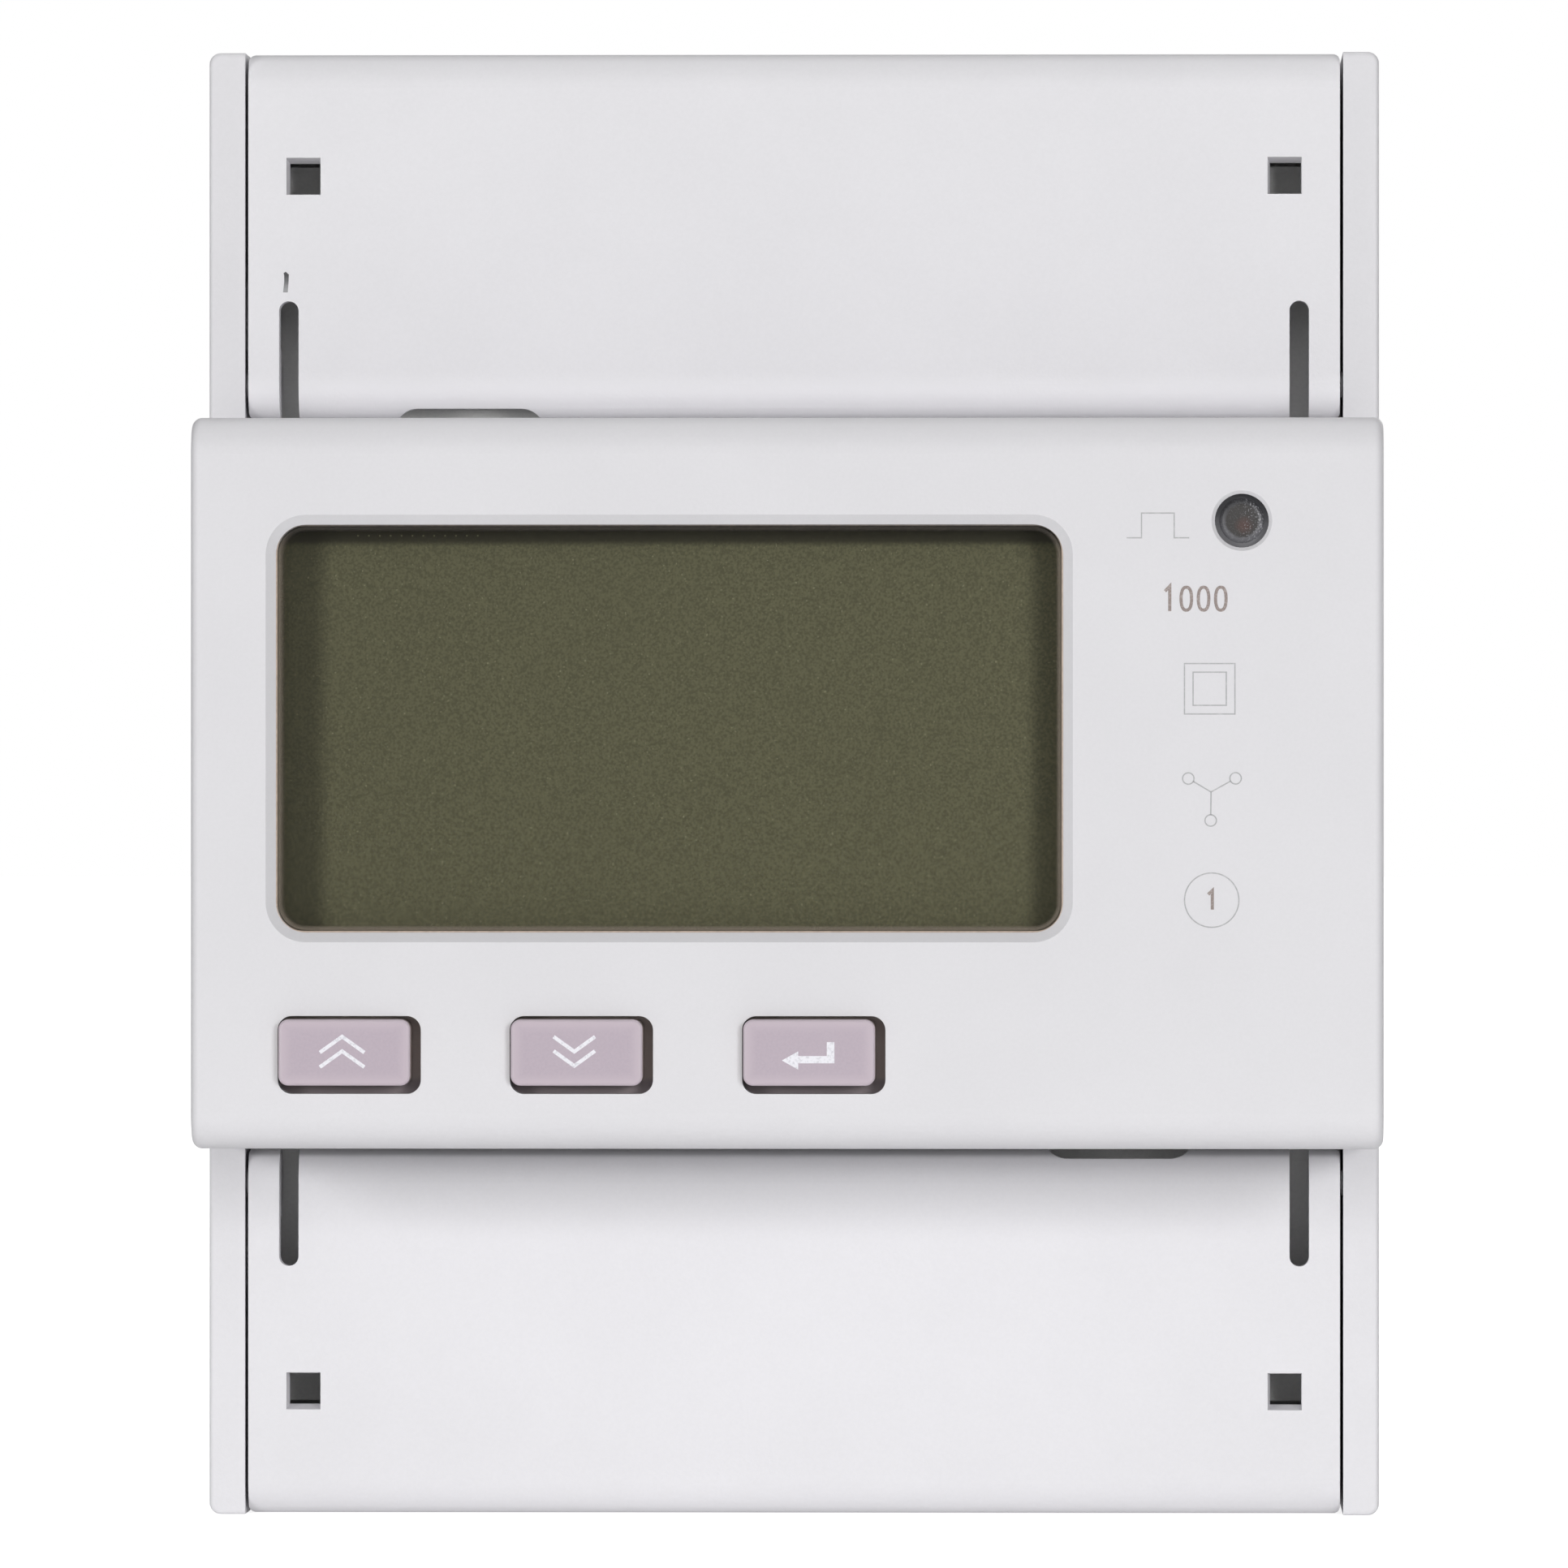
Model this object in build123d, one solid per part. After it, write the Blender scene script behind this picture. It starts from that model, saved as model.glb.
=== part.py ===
from build123d import *
import os

# A four-module, three-phase energy meter for a 35 mm rail, in millimetres.
# X runs to the right, Z up, and the front faces -Y. The origin is the middle of the face that
# the rail seats on. A level is a distance in front of that face, so Y is minus the level.

# Envelope
module_width = 18.0
module_count = 4
case_height = 90.0
block_height = 44.2
rear_depth = 5.0
shoulder_level = 41.5
front_level = 60.5
case_width = module_width * module_count

# Base housing
side_wall = 2.2
partition_wall = 2.0
floor_level = 2.0
end_corner_radius = 0.7
flange_edge_radius = 0.3
core_skin = 2.0
core_rib = 2.0
core_count = 4

# Rail, rail hook and rail clip
rail_width = 35.0
rail_lip = 1.0
rail_clearance = 0.2
hook_reach = 1.6
hook_bevel = 1.2
clip_side_gap = 0.7
clip_width = 16.0
clip_groove = 1.5
clip_plate = 2.4
clip_fit = 0.2
clip_reach = 1.5
clip_inset = 0.3
clip_slot_width = 6.0
clip_slot_height = 2.0
clip_slot_inset = 2.5

# Terminal covers
cover_side_gap = 0.2
cover_end_gap = 0.05
cover_block_gap = 0.3
cover_plate = 1.8
cover_roll_radius = 2.2
cover_end_radius = 2.1
cover_end_depth = 17.5
cover_corner_radius = 0.45
cover_skirt = 1.2
cover_skirt_gap = 0.4
cover_slot_width = 1.2
cover_slot_margin = 2.5
cover_slot_share = 0.527
cover_window_width = 2.1
cover_window_height = 2.28
cover_window_side = 3.4
cover_window_end = 7.6
cover_notch_width = 9.35
cover_notch_depth = 0.7
cover_notch_corner = 1.5
cover_notch_margin = 13.6
cover_leg_width = 1.8
cover_leg_thickness = 1.2
cover_leg_entry = 1.5
cover_leg_play = 0.8
hinge_pin_radius = 0.8
hinge_pin_fit = 0.05
hinge_pin_reach = 1.2
hinge_bore_spare = 0.2

# Terminal blocks
deck_gap = 3.2
deck_wall = 2.5
deck_end_gap = 0.2
terminal_fit = 0.3
barrier_wall = 1.2
barrier_gap = 0.4
entry_corner = 1.2
entry_side = 0.6
entry_bevel = 0.7
block_side_fit = 0.1

# Power terminals, four along each end
power_count = 4
power_margin = 7.55
power_pitch = 13.5
power_screw_radius = 2.5
power_head_radius = 3.1
power_head_height = 2.6
power_access_radius = 2.7
power_cage_width = 9.6
power_cage_length = 9.0
power_cage_wall = 1.2
power_cage_nut = 2.2
power_wire_gap = 7.0
power_travel = 6.0
busbar_level = 15.0
busbar_width = 6.0
busbar_thickness = 2.0
busbar_fit = 0.2
tap_width = 2.4
tap_thickness = 1.2

# Signal terminals, two along each end
signal_count = 2
signal_margin = 3.8
signal_pitch = 5.5
signal_screw_radius = 1.5
signal_head_radius = 1.9
signal_head_height = 1.8
signal_access_radius = 1.6
signal_cage_width = 4.4
signal_cage_length = 5.0
signal_cage_wall = 0.7
signal_cage_nut = 1.4
signal_wire_gap = 3.2
signal_travel = 2.8
contact_level = 21.2
contact_width = 2.4
contact_thickness = 0.8
contact_foot = 3.0

# Fits inside every terminal
head_fit = 0.25
head_gap = 0.2
screw_tip_gap = 0.1
screw_tip_bevel = 0.4
cage_thread_fit = 0.08
tongue_gap = 0.2
slot_width_share = 0.32
slot_depth_share = 0.55

# Front housing
front_wall = 2.0
block_side_wall = 2.0
block_edge_radius = 2.2
block_corner_radius = 0.6
rim_depth = 3.0
rim_height = 4.5
rim_wall = 1.0
rim_fit = 0.15
latch_width = 7.0
latch_depth = 9.0
latch_wall = 1.2
latch_barb = 1.0
latch_barb_height = 2.0
latch_window_gap = 0.3

# Window, lens and display
window_left_margin = 5.15
window_right_margin = 19.34
window_top_margin = 6.5
window_bottom_margin = 13.1
window_corner = 1.8
window_bevel = 0.6
lens_fit = 0.12
lens_overlap = 1.6
lens_flange = 1.2
lens_recess = 0.6
glass_overlap = 0.9
glass_thickness = 2.6
glass_gap = 0.8
backlight_thickness = 3.2
backlight_overlap = 0.7
backlight_corner = 1.0
backlight_clip = 2.0

# Buttons and their switches
button_names = ("up", "down", "enter")
button_left_margin = 9.6
button_bottom_margin = 5.7
button_pitch = 14.02
button_width = 7.95
button_height = 4.0
button_corner = 0.6
button_proud = 0.8
button_edge_radius = 0.2
button_travel = 0.5
button_flange_wall = 1.1
button_flange_side = 1.1
button_flange_gap = 0.1
button_stem_radius = 1.8
button_lean_left = 0.27
button_lean_up = 0.16
well_side_gap = 0.35
well_corner = 0.85
switch_width = 6.0
switch_depth = 3.5
switch_height = 3.5
plunger_radius = 1.5
plunger_fit = 0.1
plunger_seat = 0.7

# Pulse lamp
led_right_margin = 8.55
led_top_margin = 6.27
led_hole_radius = 1.63
led_hole_bevel = 0.2
led_radius = 1.45
led_flange_radius = 1.9
led_flange_wall = 1.0
led_recess = 0.8
led_dome_share = 0.3
led_length = 4.6
led_lead = 0.5
led_lead_pitch = 2.54

# Boards and what stands on them
board_thickness = 1.6
board_corner = 1.0
board_side_gap = 0.2
power_board_level = 27.0
post_radius = 2.7
post_inset = 3.5
boss_radius = 2.4
boss_inset = 6.0
boss_low_share = 0.35
boss_key_gap = 1.45
board_screw_radius = 1.1
board_screw_fit = 0.05
board_screw_head = 1.9
board_screw_head_height = 1.4
board_screw_bite = 6.0
board_hole_radius = 1.4
rest_width = 4.0
rest_depth = 2.0
rest_overlap = 0.4
connector_width = 15.0
connector_depth = 5.0
connector_x_share = 0.62
connector_z_share = -0.2
connector_pins = 6
connector_pin = 0.64
connector_pitch = 2.54
connector_shell = 8.5
core_width = 18.0
core_height = 15.0
core_thickness = 5.0
winding_radius = 5.6
winding_length = 12.0
supply_x_share = -0.45
supply_z_share = 0.1
capacitor_radius = 5.0
capacitor_height = 14.0
capacitor_bevel = 0.6
capacitor_x_share = 0.1
capacitor_z_share = 0.5

# Current transformers, one round each phase bar
transformer_radius = 7.2
transformer_bore = 3.6
transformer_length = 8.0
transformer_edge = 0.8
transformer_post_gap = 0.35
transformer_pin = 0.4
transformer_pin_pitch = 5.0
cradle_width = 10.0
cradle_length = 6.0
cradle_fit = 0.05
cradle_rise_share = 0.45

overrun = 1.0

# Sizes that follow from the ones above
half_width = case_width / 2
half_height = case_height / 2
half_block = block_height / 2
inner_half = half_width - side_wall
rail_half = rail_width / 2
cover_half = inner_half - cover_side_gap
cover_inner = half_block + cover_block_gap
cover_outer = half_height - cover_end_gap
hinge_z = cover_inner + cover_roll_radius
hinge_level = shoulder_level - cover_roll_radius
cover_back = shoulder_level - cover_plate
deck_level = cover_back - deck_gap
deck_underside = deck_level - deck_wall
cover_end_low = shoulder_level - cover_end_depth
terminal_z = (half_block + half_height) / 2
front_inside = front_level - front_wall
lens_back = front_inside - lens_flange
glass_front = lens_back - glass_gap
glass_back = glass_front - glass_thickness
display_front = glass_back - backlight_thickness
display_back = display_front - board_thickness
power_board_front = power_board_level + board_thickness
window_width = case_width - window_left_margin - window_right_margin
window_height = block_height - window_top_margin - window_bottom_margin
window_x = -half_width + window_left_margin + window_width / 2
window_z = half_block - window_top_margin - window_height / 2
button_z = -half_block + button_bottom_margin
led_x = half_width - led_right_margin
led_z = half_block - led_top_margin
display_half_x = inner_half - rim_fit - rim_wall - board_side_gap
display_half_z = half_block - partition_wall - rim_fit - rim_wall - board_side_gap
power_half_x = inner_half - board_side_gap
power_half_z = half_block - partition_wall - rim_fit - latch_wall - board_side_gap
post_z = power_half_z - post_inset
transformer_offset = post_z - post_radius - transformer_post_gap - transformer_length / 2
busbar_centre = busbar_level + busbar_thickness / 2
key_z = button_z + button_lean_up
power_places = [-inner_half + power_margin + i * power_pitch for i in range(power_count)]
signal_places = [inner_half - signal_margin - i * signal_pitch for i in range(signal_count)]
transformer_places = [
    (x, transformer_offset if i % 2 == 0 else -transformer_offset)
    for i, x in enumerate(power_places[:-1])
]
post_left = (power_places[0] + power_places[1]) / 2
post_right = (power_places[-1] + busbar_width / 2 + signal_places[-1] - contact_width / 2) / 2
post_places = [(x, z) for x in (post_left, post_right) for z in (-post_z, post_z)]

standing = (Align.CENTER, Align.CENTER, Align.MIN)
sight = min(module_width, case_height) / 10000


def at_level(level):
    """Work plane that faces the front: its x is X, its y is Z, and it lies at this level."""
    return Plane.XZ.offset(level)


def spot(x, z, level):
    """Where a shape built up along its own z stands, pointing to the front."""
    return at_level(level).location * Pos(x, z, 0)


def prism(outline, low, high):
    """A flat outline, drawn in X and Z, carried from one level to another."""
    return extrude(at_level(low) * outline, amount=high - low)


def slab(x_low, x_high, z_low, z_high, low, high):
    """A straight block between two places on each axis."""
    middle = Pos((x_low + x_high) / 2, (z_low + z_high) / 2)
    return prism(middle * Rectangle(x_high - x_low, z_high - z_low), low, high)


def pad(x, z, width, height, radius, low, high):
    """A block with rounded corners about a centre."""
    return prism(Pos(x, z) * RectangleRounded(width, height, radius), low, high)


def post(x, z, radius, low, high):
    """A round post that points to the front."""
    return spot(x, z, low) * Cylinder(radius, high - low, align=standing)


def side_profile(points, x_low, x_high):
    """A closed outline of (z, level) points, carried along X."""
    outline = make_face(Polyline([(-level, z) for z, level in points], close=True))
    return extrude(Plane.YZ.offset(x_low) * outline, amount=x_high - x_low)


def bar(x_low, x_high, z, level, radius):
    """A round bar along X."""
    turned = Plane.YZ.offset(x_low).location * Pos(-level, z, 0)
    return turned * Cylinder(radius, x_high - x_low, align=standing)


def edges_at(shape, axis, **place):
    """The straight or curved edges along an axis whose middle is at the given X, Y or Z."""
    found = shape.edges().filter_by(axis)
    for name, value in place.items():
        found = found.filter_by(lambda e: abs(getattr(e.center(), name) - value) < sight)
    return found


def turned_over(shape):
    """The same moulding turned by half a turn about the middle of the front."""
    return Rot(0, 180, 0) * shape


def flipped(shape):
    """The upper end's shape mirrored to the lower end."""
    return mirror(shape, about=Plane.XY)


class Terminal:
    """One size of screw terminal, whose cage rises towards the front as its screw is turned."""

    def __init__(self, screw, head, head_height, access, width, length, wall, nut, gap,
                 travel, bar_level, bar_thickness, bar_width):
        self.screw = screw
        self.head = head
        self.head_height = head_height
        self.access = access
        self.width = width
        self.length = length
        self.wall = wall
        self.gap = gap
        self.bar_width = bar_width
        self.bar_level = bar_level
        self.tongue_front = bar_level + bar_thickness
        self.nut_low = self.tongue_front + tongue_gap
        self.nut_high = self.nut_low + nut
        self.wire_low = bar_level - gap
        self.cage_low = self.wire_low - wall
        self.chamber_low = self.cage_low - terminal_fit
        self.chamber_high = self.nut_high + travel + terminal_fit
        self.chamber_end = terminal_z + length / 2 + terminal_fit
        self.tongue_end = terminal_z + length / 2 - terminal_fit

    def cage(self, x):
        """A closed strap round the bar and the wire, with a threaded front wall."""
        z_low, z_high = terminal_z - self.length / 2, terminal_z + self.length / 2
        half, inner = self.width / 2, self.width / 2 - self.wall
        strap = slab(x - half, x + half, z_low, z_high, self.cage_low, self.nut_high)
        strap = fillet(strap.edges().filter_by(Axis.Z), self.wall / 2)
        strap -= slab(x - inner, x + inner, z_low - overrun, z_high + overrun,
                      self.wire_low, self.nut_low)
        thread = self.screw + cage_thread_fit
        return strap - post(x, terminal_z, thread, self.nut_low - overrun, self.nut_high + overrun)

    def screw_shape(self, x):
        """A slotted cheese-head screw whose tip bears on the bar."""
        tip = self.tongue_front + screw_tip_gap
        top = deck_underside - head_gap
        low = top - self.head_height
        outline = Polyline(
            (0, tip),
            (self.screw - screw_tip_bevel, tip),
            (self.screw, tip + screw_tip_bevel),
            (self.screw, low),
            (self.head, low),
            (self.head, top),
            (0, top),
            close=True,
        )
        body = spot(x, terminal_z, 0) * revolve(Plane.XZ * make_face(outline), Axis.Z)
        wide, deep = self.head * slot_width_share, self.head_height * slot_depth_share
        reach = self.head + overrun
        return body - slab(x - reach, x + reach, terminal_z - wide / 2, terminal_z + wide / 2,
                           top - deep, top + overrun)

    def chamber(self, x):
        """The room in the terminal block for one cage, its screw and its wire."""
        half = self.width / 2 + terminal_fit
        room = slab(x - half, x + half, half_block - overrun, self.chamber_end,
                    self.chamber_low, self.chamber_high)
        head_room = self.head + head_fit
        room += slab(x - head_room, x + head_room, half_block - overrun, terminal_z,
                     self.chamber_high - overrun, deck_underside)
        room += post(x, terminal_z, head_room, self.chamber_high - overrun, deck_underside)
        room += post(x, terminal_z, self.access, deck_underside - overrun, deck_level + overrun)
        return room

    def entry(self, x):
        """The way in for one wire, through the end wall and flared at its mouth."""
        wide = self.width - 2 * entry_side
        low, high = self.wire_low - entry_side, self.bar_level
        tall, level = high - low, (high + low) / 2
        corner = min(entry_corner, wide / 4)
        hole = Pos(x, -level) * RectangleRounded(wide, tall, corner)
        flare = Pos(x, -level) * RectangleRounded(wide + 2 * entry_bevel, tall + 2 * entry_bevel,
                                                  corner + entry_bevel)
        start = self.chamber_end - overrun
        way = extrude(Plane.XY.offset(start) * hole, amount=half_height + overrun - start)
        mouth = loft([Plane.XY.offset(half_height - entry_bevel) * hole,
                      Plane.XY.offset(half_height) * flare])
        return way + mouth


power = Terminal(power_screw_radius, power_head_radius, power_head_height, power_access_radius,
                 power_cage_width, power_cage_length, power_cage_wall, power_cage_nut,
                 power_wire_gap, power_travel, busbar_level, busbar_thickness, busbar_width)
signal = Terminal(signal_screw_radius, signal_head_radius, signal_head_height,
                  signal_access_radius, signal_cage_width, signal_cage_length, signal_cage_wall,
                  signal_cage_nut, signal_wire_gap, signal_travel, contact_level,
                  contact_thickness, contact_width)


def base_housing():
    """Tub with side flanges, two cross walls, a hooked rail seat and a channel for the clip."""
    lip_level = -rail_lip - rail_clearance
    seat_top = rail_half + rail_clearance
    lip_z = rail_half - hook_reach
    seat_low = -rail_half - clip_side_gap
    shell = side_profile(
        [
            (-half_height, shoulder_level),
            (half_height, shoulder_level),
            (half_height, -rear_depth),
            (lip_z + hook_bevel, -rear_depth),
            (lip_z, -rear_depth + hook_bevel),
            (lip_z, lip_level),
            (seat_top, lip_level),
            (seat_top, 0),
            (seat_low, 0),
            (seat_low, -rear_depth),
            (-half_height, -rear_depth),
        ],
        -half_width,
        half_width,
    )
    shell = fillet(edges_at(shell, Axis.Y, Z=half_height), end_corner_radius)
    shell = fillet(edges_at(shell, Axis.Y, Z=-half_height), end_corner_radius)
    shell = fillet(shell.faces().sort_by(Axis.Y)[0].edges(), flange_edge_radius)

    inner_block = half_block - partition_wall
    top = shoulder_level + overrun
    shell -= slab(-inner_half, inner_half, -inner_block, inner_block, floor_level, top)
    end_room = slab(-inner_half, inner_half, half_block, half_height + overrun, floor_level, top)
    shell -= end_room + flipped(end_room)
    shell -= core_pockets()
    shell -= clip_channel()
    shell += board_posts() + cradles()
    shell -= cross_wall_slots()
    for side in (-1, 1):
        reach = hinge_pin_reach + hinge_bore_spare
        low, high = sorted((side * (inner_half - overrun), side * (inner_half + reach)))
        bore = bar(low, high, hinge_z, hinge_level, hinge_pin_radius + hinge_pin_fit)
        shell -= bore + flipped(bore)
    for z in (-1, 1):
        for x in latch_places():
            shell -= latch_window(x, z)
    return shell


def core_pockets():
    """Hollows that keep the thick ends of the floor an even wall, clear of the clip channel."""
    z_low, z_high = rail_half + rail_clearance + core_rib, half_height - core_skin
    pitch = (2 * inner_half - core_rib) / core_count
    clear = clip_width / 2 + core_rib
    pockets = []
    for i in range(core_count):
        x_low = -inner_half + core_rib + i * pitch
        x_high = x_low + pitch - core_rib
        low = -rear_depth + core_skin
        pockets.append(slab(x_low, x_high, z_low, z_high, low, floor_level + overrun))
        if x_low < 0 < x_high:
            continue
        lower_low = max(x_low, clear) if x_low >= 0 else x_low
        lower_high = x_high if x_high > 0 else min(x_high, -clear)
        if lower_high - lower_low > core_rib:
            pockets.append(slab(lower_low, lower_high, -z_high, -z_low - core_rib, low,
                                floor_level + overrun))
    return Compound(pockets)


def clip_channel():
    """T-shaped channel in the rear, open at the rail and at the lower end."""
    low_z, high_z = -half_height - overrun, -rail_half - clip_side_gap + overrun
    wide, narrow = clip_width / 2 + clip_fit, clip_width / 2 - clip_groove + clip_fit
    front = -rail_lip - rail_clearance + clip_fit
    back = front - clip_plate - 2 * clip_fit
    channel = slab(-wide, wide, low_z, high_z, back, front)
    return channel + slab(-narrow, narrow, low_z, high_z, -rear_depth - overrun, back + overrun)


def board_posts():
    """Four posts that carry the power board."""
    posts = []
    bite = power_board_level - board_screw_bite
    for x, z in post_places:
        solid = post(x, z, post_radius, floor_level - overrun, power_board_level)
        posts.append(solid - post(x, z, board_screw_radius + board_screw_fit, bite,
                                  power_board_level + overrun))
    return Compound(posts)


def cradles():
    """A hollowed saddle under each current transformer."""
    saddles = []
    top = busbar_centre - transformer_radius * (1 - cradle_rise_share)
    for x, z in transformer_places:
        block = slab(x - cradle_width / 2, x + cradle_width / 2, z - cradle_length / 2,
                     z + cradle_length / 2, floor_level - overrun, top)
        ring = Cylinder(transformer_radius + cradle_fit, transformer_length)
        saddles.append(block - Pos(x, -busbar_centre, z) * ring)
    return Compound(saddles)


def cross_wall_slots():
    """Ways through the cross walls for the bars and the signal contacts."""
    slots = []
    for x in power_places:
        half = busbar_width / 2 + busbar_fit
        slots.append(slab(x - half, x + half, half_block - partition_wall - overrun,
                          half_block + overrun, busbar_level - busbar_fit,
                          power.tongue_front + busbar_fit))
    for x in signal_places:
        half = contact_width / 2 + busbar_fit
        slots.append(slab(x - half, x + half, half_block - partition_wall - overrun,
                          half_block + overrun, contact_level - busbar_fit,
                          signal.tongue_front + busbar_fit))
    upper = Compound(slots)
    return Compound([upper, flipped(upper)])


def latch_places():
    """The middles of the front housing's latches along each cross wall."""
    return [-inner_half / 2, inner_half / 2]


def latch_window(x, side):
    """The opening in a cross wall that a latch's barb springs into."""
    half = latch_width / 2 + latch_window_gap
    high = shoulder_level - latch_depth + latch_barb_height + latch_window_gap
    low = shoulder_level - latch_depth - latch_window_gap
    z_low = half_block - partition_wall - overrun
    z_high = half_block - partition_wall + latch_barb + latch_window_gap
    window = slab(x - half, x + half, z_low, z_high, low, high)
    return window if side > 0 else flipped(window)


def rail_clip():
    """Flat slider in the rear channel: its nose holds the rail's lower lip."""
    front = -rail_lip - rail_clearance
    back = front - clip_plate
    top, low = -rail_half + clip_reach, -half_height + clip_inset
    wide, narrow = clip_width / 2, clip_width / 2 - clip_groove
    rear = -rear_depth + clip_fit
    plate = slab(-wide, wide, low, top - clip_reach - clip_side_gap, back, front)
    nose = side_profile(
        [(low, back), (low, rear), (top - hook_bevel, rear), (top, back), (top, front),
         (low, front)],
        -narrow,
        narrow,
    )
    clip = plate + nose
    slot_low = low + clip_slot_inset
    return clip - slab(-clip_slot_width / 2, clip_slot_width / 2, slot_low,
                       slot_low + clip_slot_height, rear - overrun, front + overrun)


def terminal_cover():
    """Upper terminal cover: a rolled plate with an end wall, two hinge arms and two snap legs."""
    inside_end = cover_outer - cover_plate
    roll = CenterArc((-hinge_level, hinge_z), cover_roll_radius, 180, 90)
    bend = CenterArc((-shoulder_level + cover_end_radius, cover_outer - cover_end_radius),
                     cover_end_radius, 90, 90)
    face = Line(bend @ 1, roll @ 0)
    inside = Polyline(
        roll @ 1,
        (-hinge_level, hinge_z),
        (-cover_back, hinge_z),
        (-cover_back, inside_end),
        (-cover_end_low, inside_end),
        (-cover_end_low, cover_outer),
        bend @ 0,
    )
    outline = make_face([roll, inside, bend, face])
    plate = extrude(Plane.YZ.offset(-cover_half) * outline, amount=2 * cover_half)
    plate = fillet(edges_at(plate, Axis.X, Y=-cover_back, Z=inside_end),
                   cover_end_radius - cover_plate)

    window_low = half_height - cover_window_end - cover_window_height / 2
    slot_end = cover_inner + cover_slot_share * (window_low - cover_inner)
    slot_x = cover_half - cover_slot_margin
    skirt_low = deck_level + cover_skirt_gap
    for side in (-1, 1):
        low, high = sorted((side * (cover_half - cover_skirt), side * cover_half))
        plate += slab(low, high, slot_end + cover_slot_width, inside_end + overrun / 2, skirt_low,
                      cover_back + overrun / 2)
        low, high = sorted((side * (slot_x + cover_slot_width / 2), side * cover_half))
        plate += bar(low, high, hinge_z, hinge_level, cover_roll_radius)
        plate += snap_leg(side)
    below, above = cover_end_low, shoulder_level + overrun
    plate &= pad(0, (cover_inner + cover_outer) / 2, 2 * cover_half, cover_outer - cover_inner,
                 cover_corner_radius, below, above)
    for side in (-1, 1):
        low, high = sorted((side * (cover_half - overrun), side * (inner_half + hinge_pin_reach)))
        plate += bar(low, high, hinge_z, hinge_level, hinge_pin_radius)

    for side in (-1, 1):
        slot = slab(side * slot_x - cover_slot_width / 2, side * slot_x + cover_slot_width / 2,
                    cover_inner - overrun, slot_end - cover_slot_width / 2, below, above)
        slot += post(side * slot_x, slot_end - cover_slot_width / 2, cover_slot_width / 2,
                     cover_back - overrun, above)
        plate -= slot
        window_side = side * (cover_half - cover_window_side)
        window_high = window_low + cover_window_height
        plate -= slab(window_side - cover_window_width / 2, window_side + cover_window_width / 2,
                      window_low, window_high, cover_back - overrun, above)
    notch_x = -cover_half + cover_notch_margin
    notch_height = 2 * cover_notch_corner + cover_notch_depth
    plate -= pad(notch_x, cover_inner + cover_notch_depth - notch_height / 2, cover_notch_width,
                 notch_height, cover_notch_corner, below, above)
    return plate


def snap_leg(side):
    """A leg behind the square window that enters the terminal block's deck."""
    x = side * (cover_half - cover_window_side)
    z_low = half_height - cover_window_end + cover_window_height / 2
    return slab(x - cover_leg_width / 2, x + cover_leg_width / 2, z_low,
                z_low + cover_leg_thickness, deck_level - cover_leg_entry, cover_back + overrun / 2)


def terminal_block():
    """Insulator for the upper end: a row of chambers with screw wells, wire ways and barriers."""
    half = inner_half - block_side_fit
    step_z = cover_outer - cover_plate - deck_end_gap
    step_level = cover_end_low - deck_end_gap
    body = side_profile(
        [
            (half_block, floor_level),
            (half_height, floor_level),
            (half_height, step_level),
            (step_z, step_level),
            (step_z, deck_level),
            (half_block, deck_level),
        ],
        -half,
        half,
    )
    for x in barrier_places():
        body += slab(x - barrier_wall / 2, x + barrier_wall / 2, hinge_z + cover_roll_radius, step_z,
                     deck_level - overrun, cover_back - barrier_gap)
    for kind, places in ((power, power_places), (signal, signal_places)):
        for x in places:
            body -= kind.chamber(x)
            body -= kind.entry(x)
    for side in (-1, 1):
        x = side * (cover_half - cover_window_side)
        wide = cover_leg_width / 2 + cover_leg_play / 2
        z_low = half_height - cover_window_end + cover_window_height / 2 - cover_leg_play / 2
        z_high = z_low + cover_leg_thickness + 2 * cover_leg_play
        body -= slab(x - wide, x + wide, z_low, z_high,
                     deck_level - cover_leg_entry - cover_side_gap, deck_level + overrun)
    return body


def barrier_places():
    """Midway between neighbouring terminals."""
    between = [(a + b) / 2 for a, b in zip(power_places, power_places[1:])]
    power_edge = power_places[-1] + power_cage_width / 2
    signal_edge = signal_places[-1] - signal_cage_width / 2
    return between + [(power_edge + signal_edge) / 2]


def busbar(x, tap_z):
    """A straight bar from an upper terminal to the lower one, with a tap to the power board."""
    end = power.tongue_end
    shape = slab(x - busbar_width / 2, x + busbar_width / 2, -end, end, busbar_level,
                 power.tongue_front)
    shape = fillet(shape.edges().filter_by(Axis.Y), busbar_thickness / 2)
    return shape + slab(x - tap_width / 2, x + tap_width / 2, tap_z - tap_thickness / 2,
                        tap_z + tap_thickness / 2, power.tongue_front - overrun,
                        power_board_level)


def signal_contact(x):
    """A bent strip from a signal terminal to the power board."""
    foot = power_half_z - contact_foot
    return side_profile(
        [
            (foot, power_board_level),
            (foot, contact_level),
            (signal.tongue_end, contact_level),
            (signal.tongue_end, signal.tongue_front),
            (foot + contact_thickness, signal.tongue_front),
            (foot + contact_thickness, power_board_level),
        ],
        x - contact_width / 2,
        x + contact_width / 2,
    )


def current_transformer(x, z):
    """A cased ring round a phase bar, with two pins up to the power board."""
    ring = Cylinder(transformer_radius, transformer_length)
    ring -= Cylinder(transformer_bore, transformer_length + overrun)
    ring = fillet(ring.edges().filter_by(GeomType.CIRCLE), transformer_edge)
    shape = Pos(x, -busbar_centre, z) * ring
    rise = (transformer_radius + transformer_bore) / 2
    for side in (-1, 1):
        shape += post(x + side * transformer_pin_pitch / 2, z, transformer_pin,
                      busbar_centre + rise, power_board_level)
    return shape


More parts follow.
